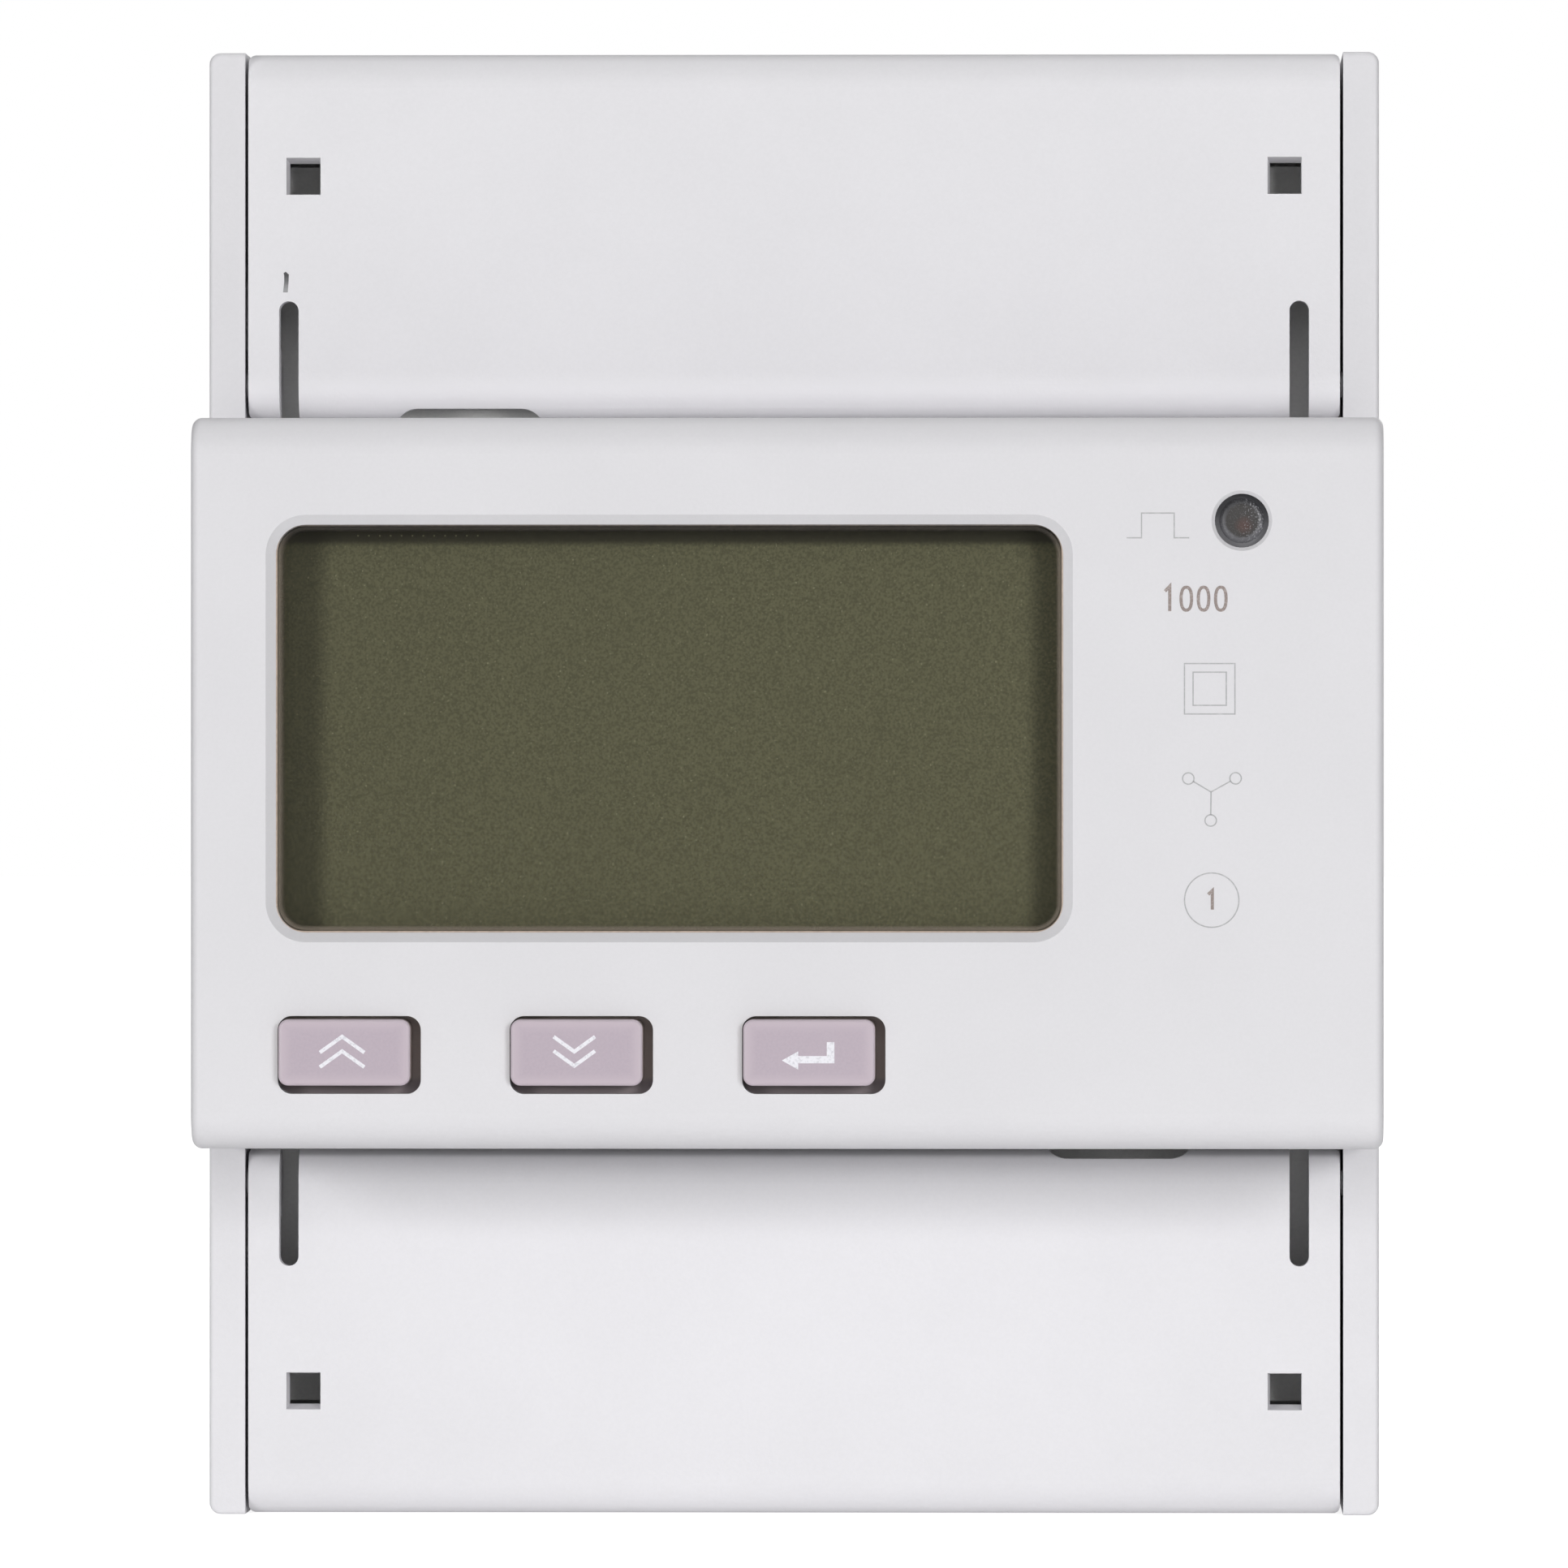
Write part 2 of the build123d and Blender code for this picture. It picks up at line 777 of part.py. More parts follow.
def front_housing():
    """The front block: rolled edges, a window, three button wells and the lamp hole."""
    block = side_profile(
        [(-half_block, shoulder_level), (half_block, shoulder_level),
         (half_block, front_level), (-half_block, front_level)],
        -half_width,
        half_width,
    )
    for z in (-half_block, half_block):
        block = fillet(edges_at(block, Axis.X, Y=-front_level, Z=z), block_edge_radius)
    for face in (Axis.X, -Axis.X):
        rim = block.faces().sort_by(face)[-1].edges()
        block = fillet(rim.filter_by(lambda e: e.center().Y < -shoulder_level - sight),
                       block_corner_radius)

    rim_x, rim_z = inner_half - rim_fit, half_block - partition_wall - rim_fit
    rim_low, rim_top = shoulder_level - rim_depth, shoulder_level + rim_height
    wide_x, wide_z = half_width - block_side_wall, half_block - block_side_wall
    block += slab(-rim_x, rim_x, -rim_z, rim_z, rim_low, rim_top)
    block -= slab(-rim_x + rim_wall, rim_x - rim_wall, -rim_z + rim_wall, rim_z - rim_wall,
                  rim_low - overrun, rim_top + overrun)
    block -= slab(-wide_x, wide_x, -wide_z, wide_z, rim_top, front_inside)

    block -= pad(window_x, window_z, window_width, window_height, window_corner,
                 front_inside - overrun, front_level + overrun)
    block -= window_flare()
    for x in well_places():
        block -= pad(x, button_z, button_width + 2 * well_side_gap,
                     button_height + 2 * well_side_gap, well_corner, front_inside - overrun,
                     front_level + overrun)
    block -= post(led_x, led_z, led_hole_radius, front_inside - overrun, front_level + overrun)
    mouth = Cone(led_hole_radius, led_hole_radius + led_hole_bevel, led_hole_bevel, align=standing)
    block -= spot(led_x, led_z, front_level - led_hole_bevel) * mouth

    for x, z in boss_places():
        boss = post(x, z, boss_radius, display_front, front_inside + overrun / 2)
        block += boss
        block -= post(x, z, board_screw_radius + board_screw_fit, display_front - overrun,
                      display_front + board_screw_bite)
    for z in (-display_half_z / 2, display_half_z / 2):
        block += slab(-wide_x - overrun / 2, -display_half_x + rest_overlap, z - rest_width / 2,
                      z + rest_width / 2, display_front, display_front + rest_depth)
    for side in (-1, 1):
        for x in latch_places():
            block += latch(x, side)
    return block


def window_flare():
    """The slope round the window's mouth."""
    inner = Pos(window_x, window_z) * RectangleRounded(window_width, window_height, window_corner)
    outer = Pos(window_x, window_z) * RectangleRounded(
        window_width + 2 * window_bevel, window_height + 2 * window_bevel,
        window_corner + window_bevel)
    return loft([at_level(front_level - window_bevel) * inner, at_level(front_level) * outer])


def latch(x, side):
    """A springy tongue that hooks into a cross wall of the base."""
    outer = half_block - partition_wall - rim_fit
    low = shoulder_level - latch_depth
    tongue = side_profile(
        [
            (outer - latch_wall, low),
            (outer, low),
            (outer + latch_barb, low + latch_barb_height),
            (outer, low + latch_barb_height),
            (outer, shoulder_level),
            (outer - latch_wall, shoulder_level),
        ],
        x - latch_width / 2,
        x + latch_width / 2,
    )
    return tongue if side > 0 else flipped(tongue)


def boss_places():
    """Where the display board is screwed: two on the right, one right of the buttons."""
    right = display_half_x - boss_inset / 2
    low = -display_half_z + boss_inset / 2
    key_edge = button_places()[-1] + button_width / 2 + button_flange_side
    return [
        (right, low),
        (right, display_half_z * boss_low_share),
        (key_edge + boss_key_gap + boss_radius, low),
    ]


def well_places():
    """The middles of the three button wells."""
    first = -half_width + button_left_margin
    return [first + i * button_pitch for i in range(len(button_names))]


def button_places():
    """The middles of the three buttons, which lie a little left of their wells' middles."""
    return [x - button_lean_left for x in well_places()]


def window_lens():
    """Clear lens: a flange behind the wall and a raised pad that fills the window."""
    flange = pad(window_x, window_z, window_width + 2 * lens_overlap,
                 window_height + 2 * lens_overlap, window_corner, lens_back, front_inside)
    return flange + pad(window_x, window_z, window_width - 2 * lens_fit,
                        window_height - 2 * lens_fit, window_corner - lens_fit,
                        front_inside - overrun / 2, front_level - lens_recess)


def lcd_glass():
    """The display cell: two glass sheets, the front one shorter to leave a contact ledge."""
    width = window_width + 2 * glass_overlap
    height = window_height + 2 * glass_overlap
    rear = slab(window_x - width / 2, window_x + width / 2, window_z - height / 2,
                window_z + height / 2, glass_back, (glass_back + glass_front) / 2)
    return rear + slab(window_x - width / 2, window_x + width / 2,
                       window_z - height / 2 + glass_overlap, window_z + height / 2,
                       glass_back, glass_front)


def lcd_backlight():
    """Light guide behind the glass, with two side clips that hold it."""
    width = window_width + 2 * glass_overlap
    height = window_height + 2 * glass_overlap
    shape = pad(window_x, window_z, width, height, backlight_corner, display_front, glass_back)
    for side in (-1, 1):
        z = window_z + side * height / 2
        low, high = sorted((z, z + side * backlight_overlap))
        shape += slab(window_x - width / 4, window_x + width / 4, low, high, display_front,
                      glass_back + backlight_clip / 2)
    return shape


def button_cap(x):
    """A key cap with a flange behind the wall and a stem down to its switch."""
    flange_front = front_inside - button_flange_gap
    flange_back = flange_front - button_flange_wall
    cap = pad(x, key_z, button_width, button_height, button_corner, flange_back,
              front_level + button_proud)
    crown = cap.faces().sort_by(Axis.Y)[0].edges()
    cap = fillet(crown, button_edge_radius)
    cap += pad(x, key_z, button_width + 2 * button_flange_side,
               button_height + 2 * button_flange_side, button_corner, flange_back, flange_front)
    return cap + post(x, key_z, button_stem_radius, plunger_top(), flange_back + overrun / 2)


def plunger_top():
    """Level of a switch plunger's end, which leaves room for the cap's travel."""
    return display_front + switch_height + button_travel + plunger_seat


def tact_switch(x):
    """A small switch on the display board, with a hole for its plunger."""
    body = slab(x - switch_width / 2, x + switch_width / 2, key_z - switch_depth / 2,
                key_z + switch_depth / 2, display_front, display_front + switch_height)
    seat = display_front + switch_height - plunger_seat - button_travel
    return body - post(x, key_z, plunger_radius + plunger_fit, seat - plunger_fit,
                       display_front + switch_height + overrun)


def switch_plunger(x):
    """The switch's moving pin."""
    return post(x, key_z, plunger_radius, display_front + switch_height - plunger_seat,
                plunger_top())


def pulse_led():
    """A small round lamp on two leads, its flat face just inside the front face."""
    top = front_level - led_recess
    low = top - led_length
    lamp = post(led_x, led_z, led_radius, low, top)
    lamp = fillet(lamp.faces().sort_by(Axis.Y)[0].edges(), led_radius * led_dome_share)
    lamp += post(led_x, led_z, led_flange_radius, low, low + led_flange_wall)
    for side in (-1, 1):
        x = led_x + side * led_lead_pitch / 2
        lamp += slab(x - led_lead / 2, x + led_lead / 2, led_z - led_lead / 2,
                     led_z + led_lead / 2, display_front, low + led_flange_wall / 2)
    return lamp


def board_screw(x, z, seat, inward):
    """A pan-head screw: inward is 1 when it is driven towards the front."""
    head_far = seat - inward * board_screw_head_height
    tip = seat + inward * (board_thickness + board_screw_bite - board_screw_fit)
    low, high = sorted((head_far, seat))
    shape = post(x, z, board_screw_head, low, high)
    low, high = sorted((seat, tip))
    return shape + post(x, z, board_screw_radius, low, high)


def display_board():
    """Board behind the front, with holes for its screws."""
    board = pad(0, 0, 2 * display_half_x, 2 * display_half_z, board_corner, display_back,
                display_front)
    for x, z in boss_places():
        board -= post(x, z, board_hole_radius, display_back - overrun, display_front + overrun)
    return board


def power_board():
    """Board over the transformers, on the base's four posts."""
    board = pad(0, 0, 2 * power_half_x, 2 * power_half_z, board_corner, power_board_level,
                power_board_front)
    for x, z in post_places:
        board -= post(x, z, board_hole_radius, power_board_level - overrun,
                      power_board_front + overrun)
    return board


def board_connector():
    """Pin header from the power board into a shell under the display board."""
    x, z = connector_x_share * half_width, connector_z_share * half_block
    shell = slab(x - connector_width / 2, x + connector_width / 2, z - connector_depth / 2,
                 z + connector_depth / 2, display_back - connector_shell, display_back)
    foot = slab(x - connector_width / 2, x + connector_width / 2, z - connector_depth / 2,
                z + connector_depth / 2, power_board_front, power_board_front + connector_pitch)
    header = shell + foot
    for i in range(connector_pins):
        pin_x = x + (i - (connector_pins - 1) / 2) * connector_pitch
        for side in (-1, 1):
            pin_z = z + side * connector_pitch / 2
            header += slab(pin_x - connector_pin / 2, pin_x + connector_pin / 2,
                           pin_z - connector_pin / 2, pin_z + connector_pin / 2,
                           power_board_front, display_back - connector_shell / 2)
    return header


def supply_transformer():
    """Small mains transformer: a framed core round a wound bobbin."""
    x, z = supply_x_share * half_width, supply_z_share * half_block
    level = power_board_front
    core = slab(x - core_width / 2, x + core_width / 2, z - core_thickness / 2,
                z + core_thickness / 2, level, level + core_height)
    winding = post(x, z, winding_radius, level + (core_height - winding_length) / 2,
                   level + (core_height + winding_length) / 2)
    return core + winding


def supply_capacitors():
    """Two reservoir capacitors side by side on the power board."""
    x, z = capacitor_x_share * half_width, capacitor_z_share * half_block
    cans = []
    for side in (0, 1):
        can = post(x + side * (2 * capacitor_radius + board_side_gap), z, capacitor_radius,
                   power_board_front, power_board_front + capacitor_height)
        cans.append(chamfer(can.faces().sort_by(Axis.Y)[0].edges(), capacitor_bevel))
    return Compound(cans)


def save(shape, node):
    """Writes one node."""
    export_step(shape, f"parts/{node}.step")


os.makedirs("parts", exist_ok=True)
save(base_housing(), "base_housing")
save(front_housing(), "front_housing")
save(rail_clip(), "rail_clip")

cover = terminal_cover()
save(cover, "terminal_cover_top")
save(turned_over(cover), "terminal_cover_bottom")
insulator = terminal_block()
save(insulator, "terminal_block_top")
save(flipped(insulator), "terminal_block_bottom")

for kind, places, name in ((power, power_places, "power"), (signal, signal_places, "signal")):
    for i, x in enumerate(places, 1):
        screw, cage = kind.screw_shape(x), kind.cage(x)
        save(screw, f"{name}_screw_top_{i}")
        save(flipped(screw), f"{name}_screw_bottom_{i}")
        save(cage, f"{name}_cage_top_{i}")
        save(flipped(cage), f"{name}_cage_bottom_{i}")

for i, (x, z) in enumerate(transformer_places, 1):
    save(busbar(x, -z / 2), f"busbar_phase_{i}")
save(busbar(power_places[-1], 0), "busbar_neutral")
upper_contacts = [signal_contact(x) for x in signal_places]
save(Compound(upper_contacts + [flipped(c) for c in upper_contacts]), "signal_contacts")
for i, (x, z) in enumerate(transformer_places, 1):
    save(current_transformer(x, z), f"current_transformer_{i}")

save(window_lens(), "window_lens")
save(lcd_glass(), "lcd_glass")
save(lcd_backlight(), "lcd_backlight")
for name, x in zip(button_names, button_places()):
    save(button_cap(x), f"button_{name}")
    save(tact_switch(x), f"switch_body_{name}")
    save(switch_plunger(x), f"switch_plunger_{name}")
save(pulse_led(), "pulse_led")
save(display_board(), "display_board")
save(power_board(), "power_board")
save(board_connector(), "board_connector")
save(supply_transformer(), "supply_transformer")
save(supply_capacitors(), "supply_capacitors")
display_screws = [board_screw(x, z, display_back, 1) for x, z in boss_places()]
save(Compound(display_screws), "display_board_screws")
power_screws = [board_screw(x, z, power_board_front, -1) for x, z in post_places]
save(Compound(power_screws), "power_board_screws")
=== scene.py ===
import math

import bmesh
import bpy
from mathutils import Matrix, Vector


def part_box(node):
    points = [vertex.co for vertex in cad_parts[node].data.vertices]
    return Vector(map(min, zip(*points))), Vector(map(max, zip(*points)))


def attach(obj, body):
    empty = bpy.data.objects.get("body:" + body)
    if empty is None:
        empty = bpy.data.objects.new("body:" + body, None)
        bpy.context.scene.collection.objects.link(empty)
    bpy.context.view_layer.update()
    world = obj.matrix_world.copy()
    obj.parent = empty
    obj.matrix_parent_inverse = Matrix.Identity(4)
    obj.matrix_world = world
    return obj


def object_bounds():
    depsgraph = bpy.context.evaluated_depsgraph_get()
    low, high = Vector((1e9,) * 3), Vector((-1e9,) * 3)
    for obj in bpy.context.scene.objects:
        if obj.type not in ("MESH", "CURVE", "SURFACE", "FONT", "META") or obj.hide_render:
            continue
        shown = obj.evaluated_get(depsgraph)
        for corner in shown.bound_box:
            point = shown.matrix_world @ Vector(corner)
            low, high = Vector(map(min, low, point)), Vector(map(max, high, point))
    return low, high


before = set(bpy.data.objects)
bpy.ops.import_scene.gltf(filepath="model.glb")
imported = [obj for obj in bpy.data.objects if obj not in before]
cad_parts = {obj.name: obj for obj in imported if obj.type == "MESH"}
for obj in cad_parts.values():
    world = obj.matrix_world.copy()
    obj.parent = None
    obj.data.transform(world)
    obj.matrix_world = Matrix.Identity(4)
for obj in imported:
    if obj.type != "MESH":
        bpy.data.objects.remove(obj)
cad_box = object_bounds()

# The looks of a four-module rail energy meter, in metres. X is to the right, Z up, the front
# faces -Y. Marks and glyphs lie on the faces that the frame gives.
MM = 0.001

# Colours as they show in even light, in sRGB from 0 to 255, save those marked as painted shade or
# light
CASE = (222, 221, 224)
COVER = (229, 228, 231)
# Painted shade under the block, on the lower cover
UNDER_BLOCK_SHADE = (74, 76, 75)
INSULATOR = (240, 240, 238)
CLIP = (38, 38, 40)
DISPLAY = (100, 97, 73)
DISPLAY_SPARK = (160, 156, 124)
# Painted shadow of the window's frame on the cell
DISPLAY_SHADOW = (50, 46, 34)
LENS_RIM = (124, 114, 102)
# Painted shade at the top of the lens rim
LENS_RIM_TOP_SHADE = (70, 65, 60)
SEAL = (186, 168, 154)
# Painted shade at the top of the seal
SEAL_TOP_SHADE = (84, 79, 75)
# The lamp skirt: painted light low down, painted shade at its top
SKIRT_LIT_LOW = (112, 112, 115)
SKIRT_SHADED_TOP = (56, 56, 59)
KEY = (186, 173, 184)
KEY_EDGE = (197, 184, 193)
KEY_SIDE = (182, 168, 163)
# Painted shade low on the keys' sides
KEY_UNDER_SHADE = (153, 142, 145)
GLYPH = (240, 239, 245)
GLYPH_GAPS = (206, 205, 212)
LINE_MARK = (176, 176, 178)
LINE_GAPS = (196, 196, 198)
NUMBER_MARK = (146, 133, 129)
NUMBER_GAPS = (186, 176, 172)
# The slit's inside: painted shade, deep at its top and light at its foot
SLIT_DEEP_SHADE = (72, 72, 74)
SLIT_LIGHT_SHADE = (158, 158, 160)
LAMP = (90, 90, 93)
LAMP_FACE = (58, 56, 55)
LAMP_CORE = (80, 61, 57)
BRASS = (214, 186, 140)
BRASS_DULL = (190, 150, 96)
ZINC = (196, 198, 200)
STEEL = (184, 186, 190)
TRANSFORMER = (34, 60, 118)
COPPER_WINDING = (176, 98, 52)
CORE_GAP = (70, 72, 76)
CORE_STEEL = (112, 114, 118)
LIGHT_GUIDE = (236, 238, 234)
BOARD = (34, 92, 56)
CONNECTOR = (34, 34, 36)
CAPACITOR = (44, 46, 60)
PLUNGER = (170, 52, 44)

# Plastics: features of their spark-eroded grain and faint mottle, how far the tone and roughness
# swing with them, and the height of the relief
SPARK_GRAIN = 0.22 * MM
MOTTLE = 9 * MM
PLASTIC_SWING = 0.018
PLASTIC_ROUGH = 0.56
ROUGH_SWING = 0.06
PLASTIC_RELIEF = 0.010 * MM
SMOOTH_RELIEF = 0.004 * MM
CASTING_RELIEF = 0.006 * MM

# The values that a noise mostly keeps to, and a wider range for the grain's roughness
NOISE_RANGE = (0.3, 0.7)
GRAIN_RANGE = (0.25, 0.75)

# Metals: features of their drawn streaks and dull patches, the noise that counts as a patch, the
# factors of the bright and dull tones, and how far the roughness swings along the streaks
STREAK = 0.12 * MM
PATCH = 2.5 * MM
PATCH_RANGE = (0.35, 0.7)
BRIGHT_FACTOR = 1.05
DULL_FACTOR = 0.8
STREAK_SMOOTHER = 0.08
STREAK_ROUGHER = 0.1

# Case: painted light that makes it paler by this share at its foot, Z from the foot to the middle
CASE_FOOT_LIGHT = 0.07
CASE_HALF = 45 * MM

# Covers: painted light along the upper one's inner roll and painted shade along the lower one's,
# under the block's edge, each with the heights between which it fades
LIT_ROLL_FULL = 23.8 * MM
LIT_ROLL_END = 25.6 * MM
LIT_ROLL_FACTOR = 1.085
UNDER_SHADE_START = -23.08 * MM
UNDER_SHADE_FULL = -22.74 * MM
UNDER_SHADE_SHARE = 0.49

# Keys: the flange that the well hides, the corner of the face, the fades of its rim, of its
# rounded edge and of the painted shade low on its sides, and the grain
KEY_FLANGE = 1.1 * MM
KEY_CORNER = 0.6 * MM
KEY_RIM = (0.15 * MM, 0.9 * MM)
KEY_ROUND = (0.15 * MM, 0.4 * MM)
KEY_SHADE_FADE = (0.1 * MM, 0.6 * MM)
KEY_GRAIN = 0.16 * MM
KEY_GRAIN_SHARE = 0.35
KEY_RELIEF = 0.003 * MM

# Window: how far the lens reaches behind the block, its pad's corner, the fades of its rim and of
# the rim's painted shade from the top, how clear the rim is, and what the clear part lets through
LENS_OVERLAP = 1.6 * MM
WINDOW_CORNER = 1.8 * MM
LENS_RIM_FADE = (0.2 * MM, 0.45 * MM)
LENS_RIM_CLEAR = 0.5
RIM_SHADE_FADE = (0.3 * MM, 1.8 * MM)
LENS_CLEAR = (0.96, 0.965, 0.955, 1.0)
LENS_IOR = 1.32
LENS_WAVE = 0.8 * MM

# Display cell: its specks, bright points and wide clouds, and the factors of their tones
DISPLAY_SPECK = 0.15 * MM
SPECK_FACTORS = (0.78, 1.22)
DISPLAY_POINT = 0.11 * MM
POINT_RANGE = (0.8, 0.86)
POINT_SHARE = 0.7
DISPLAY_CLOUD = 14 * MM
CLOUD_FACTOR = 0.85
CLOUD_SHARE = 0.15
CELL_RELIEF = 0.002 * MM

# Display cell: shade that fades over its whole width from the left, and a painted shadow of the
# window's frame along each of three sides, with the distances between which it fades and its share
LEFT_SHADE_FACTOR = 0.55
LEFT_SHADE_SHARE = 0.16
SHADOW_LEFT = (2.0 * MM, 3.3 * MM, 0.36)
SHADOW_RIGHT = (1.4 * MM, 2.3 * MM, 0.3)
SHADOW_TOP = (0.85 * MM, 1.35 * MM, 0.85)

# A row of fine dots along the cell's upper seal, from the window's upper left
DOT_PITCH = 0.66 * MM
DOT_DROP = 0.6 * MM
DOT_MIDDLE = 8.4 * MM
DOT_REACH = 3.9 * MM
DOT_FADE = (0.02 * MM, 0.06 * MM)
DOT_STRENGTH = 0.5

# Lamp: its warm core's place from the middle and fade, the edge of its face, the rim's painted
# light low and painted shade at the top, and the bubbles, which show most on the right
CORE_RIGHT = 0.12 * MM
CORE_DOWN = 0.25 * MM
CORE_FADE = (0.3 * MM, 0.9 * MM)
CORE_WOBBLE = 0.4 * MM
LAMP_EDGE = (1.0 * MM, 1.16 * MM)
LAMP_WOBBLE = 0.16 * MM
LAMP_CLOUD = 0.35 * MM
LAMP_SHADING = (-0.9 * MM, 1.1 * MM)
LAMP_LOW_LIGHT = 1.45
LAMP_TOP_SHADE = 0.45
LAMP_RIM_GLOSS = 0.15
BUBBLE = 0.1 * MM
BUBBLE_RANGE = (0.58, 0.68)
BUBBLE_SIDE = (-0.3 * MM, 0.8 * MM)
BUBBLE_SHARE = 0.6
BUBBLE_LEFT_SHARE = 0.15
BUBBLE_FACTOR = 4.0
BUBBLE_RELIEF = 0.02 * MM

# Trims round the window and the lamp, as the solids leave room for them, and their textures
SEAL_WIDTH = 0.2 * MM
LENS_GAP = 0.12 * MM
# Heights over which the skirt's painted shade fades
SKIRT_SHADING = (-0.9 * MM, 1.3 * MM)
SKIRT_RADIUS = 1.36 * MM
LAMP_HOLE = 1.63 * MM
SKIRT_DROP = 0.16 * MM
SKIRT_CLOUD = 0.3 * MM
SKIRT_WOBBLE = 0.5 * MM
SKIRT_RELIEF = 0.02 * MM
SEAL_GRAIN = 0.2 * MM
SEAL_RANGE = (0.35, 0.65)
SEAL_DIRT = 0.3
SEAL_RELIEF = 0.01 * MM

# Supply transformer: half the height of its winding, the pitch of laminations and wire, and how
# high and dark the wire's turns are
WINDING_HALF = 2.55 * MM
LAMINATION_PITCH = 1.2 * MM
WIRE_PITCH = 1.0 * MM
WIRE_RELIEF = 0.05 * MM
WIRE_DARK_FACTOR = 0.55

# Boards: pitch of the weave, size of the tracks, the noise between which tone, edge and gloss
# change, the tones' factors, and how much of the weave shows between the tracks
WEAVE_PITCH = 2.4 * MM
WEAVE_DISTORTION = 0.6
TRACK = 1.6 * MM
TRACK_TONE_RANGE = (0.45, 0.55)
TRACK_EDGE_RANGE = (0.48, 0.52)
TRACK_GLOSS_RANGE = (0.4, 0.6)
TRACK_FACTORS = (0.75, 1.3)
PLAIN_SHARE = 0.3
TRACK_RELIEF = 0.03 * MM

# Strokes: how far they stand proud and sink into their face, their widths, the points of round
# ones, and the least cosine at a corner, which keeps sharp mitres short
PROUD = 0.012 * MM
LINE_WIDTH = 0.075 * MM
NUMBER_WIDTH = 0.19 * MM
GLYPH_WIDTH = 0.225 * MM
CIRCLE_STEPS = 48
SMALL_CIRCLE_STEPS = 24
CORNER_STEPS = 12
MITRE_LIMIT = 0.3

# Print: the noise that leaves gaps in it, how clear they are, its relief and its dots
GAP_RANGE = (0.45, 0.75)
GAP_SHARE = 0.7
PRINT_RELIEF = 0.002 * MM
LINE_DOTS = 0.2 * MM
NUMBER_DOTS = 0.12 * MM
GLYPH_DOTS = 0.15 * MM

# Plain figures, as shares of their width and height, and how square the nought is
ONE_SHARES = ((-0.34, 0.3), (0.06, 0.5), (0.06, -0.5))
NOUGHT_SHARES = (0.44, 0.46)
NOUGHT_POWERS = (0.8, 0.9)

# Places and sizes of the marks, in millimetres from the middle of the front
PULSE_ENDS = (20.51, 24.28)
PULSE_STEPS = (21.40, 23.37)
PULSE_LEVELS = (14.79, 16.28)
NUMBER_TEXT = "1000"
NUMBER_PLACE = (24.62, 11.12)
NUMBER_PITCH = 1.04
NUMBER_SIZE = (0.72, 1.5)
SQUARES_PLACE = (25.51, 5.69)
SQUARES_HALVES = (1.52, 1.0)
STAR_PLACE = (25.59, -0.53)
STAR_ENDS = ((24.22, 0.28), (27.07, 0.29), (25.57, -2.25))
STAR_RING = 0.345
RING_PLACE = (25.63, -7.05)
RING_RADIUS = 1.64
RING_TEXT = "1"
RING_SIZE = (0.62, 1.15)

# Key glyphs, in millimetres from the middle of their key. Chevrons: place in X, half width, rise
# and apexes. Arrow: its outline from the tip
KEYS = ("up", "down", "enter")
CHEVRONS = {"up": (-0.12, 1.345, 0.96, (0.96, 0.08)), "down": (-0.13, 1.25, -0.9, (0.06, -0.80))}
ARROW_OUTLINE = ((-1.64, -0.47), (-0.65, 0.08), (-0.65, -0.20), (1.07, -0.20), (1.07, 0.64),
                 (1.53, 0.64), (1.53, -0.64), (-0.65, -0.64), (-0.65, -1.02))

# The slit's outline in the upper cover, and the heights between which its painted shade deepens
SLIT_OUTLINE = ((-31.42, 31.44), (-31.295, 31.525), (-31.1, 31.35), (-31.115, 30.94),
                (-31.165, 30.25), (-31.455, 30.25), (-31.38, 30.94), (-31.385, 31.29))
SLIT_FADE = (30.4 * MM, 31.5 * MM)
SLIT_GRAIN = 0.3 * MM
SLIT_WOBBLE = 0.3 * MM
SLIT_RELIEF = 0.005 * MM

# Square holes of the covers, and how far each sloped wall leans in over its depth
HOLE_X = 30.2 * MM
HOLE_Z = 37.4 * MM
HOLE_WIDTH = 2.1 * MM
HOLE_HEIGHT = 2.28 * MM
DRAFT_OUTER = 0.32 * MM
DRAFT_INNER = 0.1 * MM
DRAFT_LEFT = 0.16 * MM
DRAFT_RIGHT = 0.04 * MM
DRAFT_START = 0.1 * MM
DRAFT_END = 1.3 * MM
DRAFT_DEEP = 1.7 * MM

# Light: each soft box's place, size and share of a full light on a face turned to it, and the
# share and colour of the light that comes evenly from all round
SOFT_BOXES = {
    "light_left": (Vector((-0.63, -0.9, 0.13)), (0.26, 0.26), 0.303),
    "light_right": (Vector((0.42, -0.9, 0.13)), (0.26, 0.26), 0.328),
    "light_top": (Vector((0.0, 0.12, 0.8)), (0.7, 0.4), 0.32),
    "light_high": (Vector((0.0, -0.9, 0.38)), (0.6, 0.4), 0.088),
    "light_rear": (Vector((0.35, 0.95, 0.3)), (0.6, 0.4), 0.17),
}
SURROUND = 0.1
PURE_WHITE = (1.0, 1.0, 1.0, 1.0)

# Floor: how bright it looks near the meter and how much it lights it, and the distances between
# which both fade outwards
FLOOR_WHITE = 0.8
FLOOR_GLOW = 0.147
WHITE_FADE = (0.2, 0.6)
GLOW_FADE = (0.1, 0.4)
FLOOR_TONE = (0.86, 0.86, 0.86, 1.0)
FLOOR_GRAIN = 0.02
FLOOR_HALF = 8.0
FLOOR_GAP = 0.02 * MM

# Camera, worked out from the photograph's outlines
CAMERA_PLACE = Vector((21.457, -992.66, -1.107)) * MM
CAMERA_YAW = 0.02318
CAMERA_PITCH = 0.001135
FOCAL_PIXELS = 19049
IMAGE_PIXELS = 1932
SENSOR = 36.0

SOCKETS = {"metallic": "Metallic", "specular": "Specular IOR Level"}


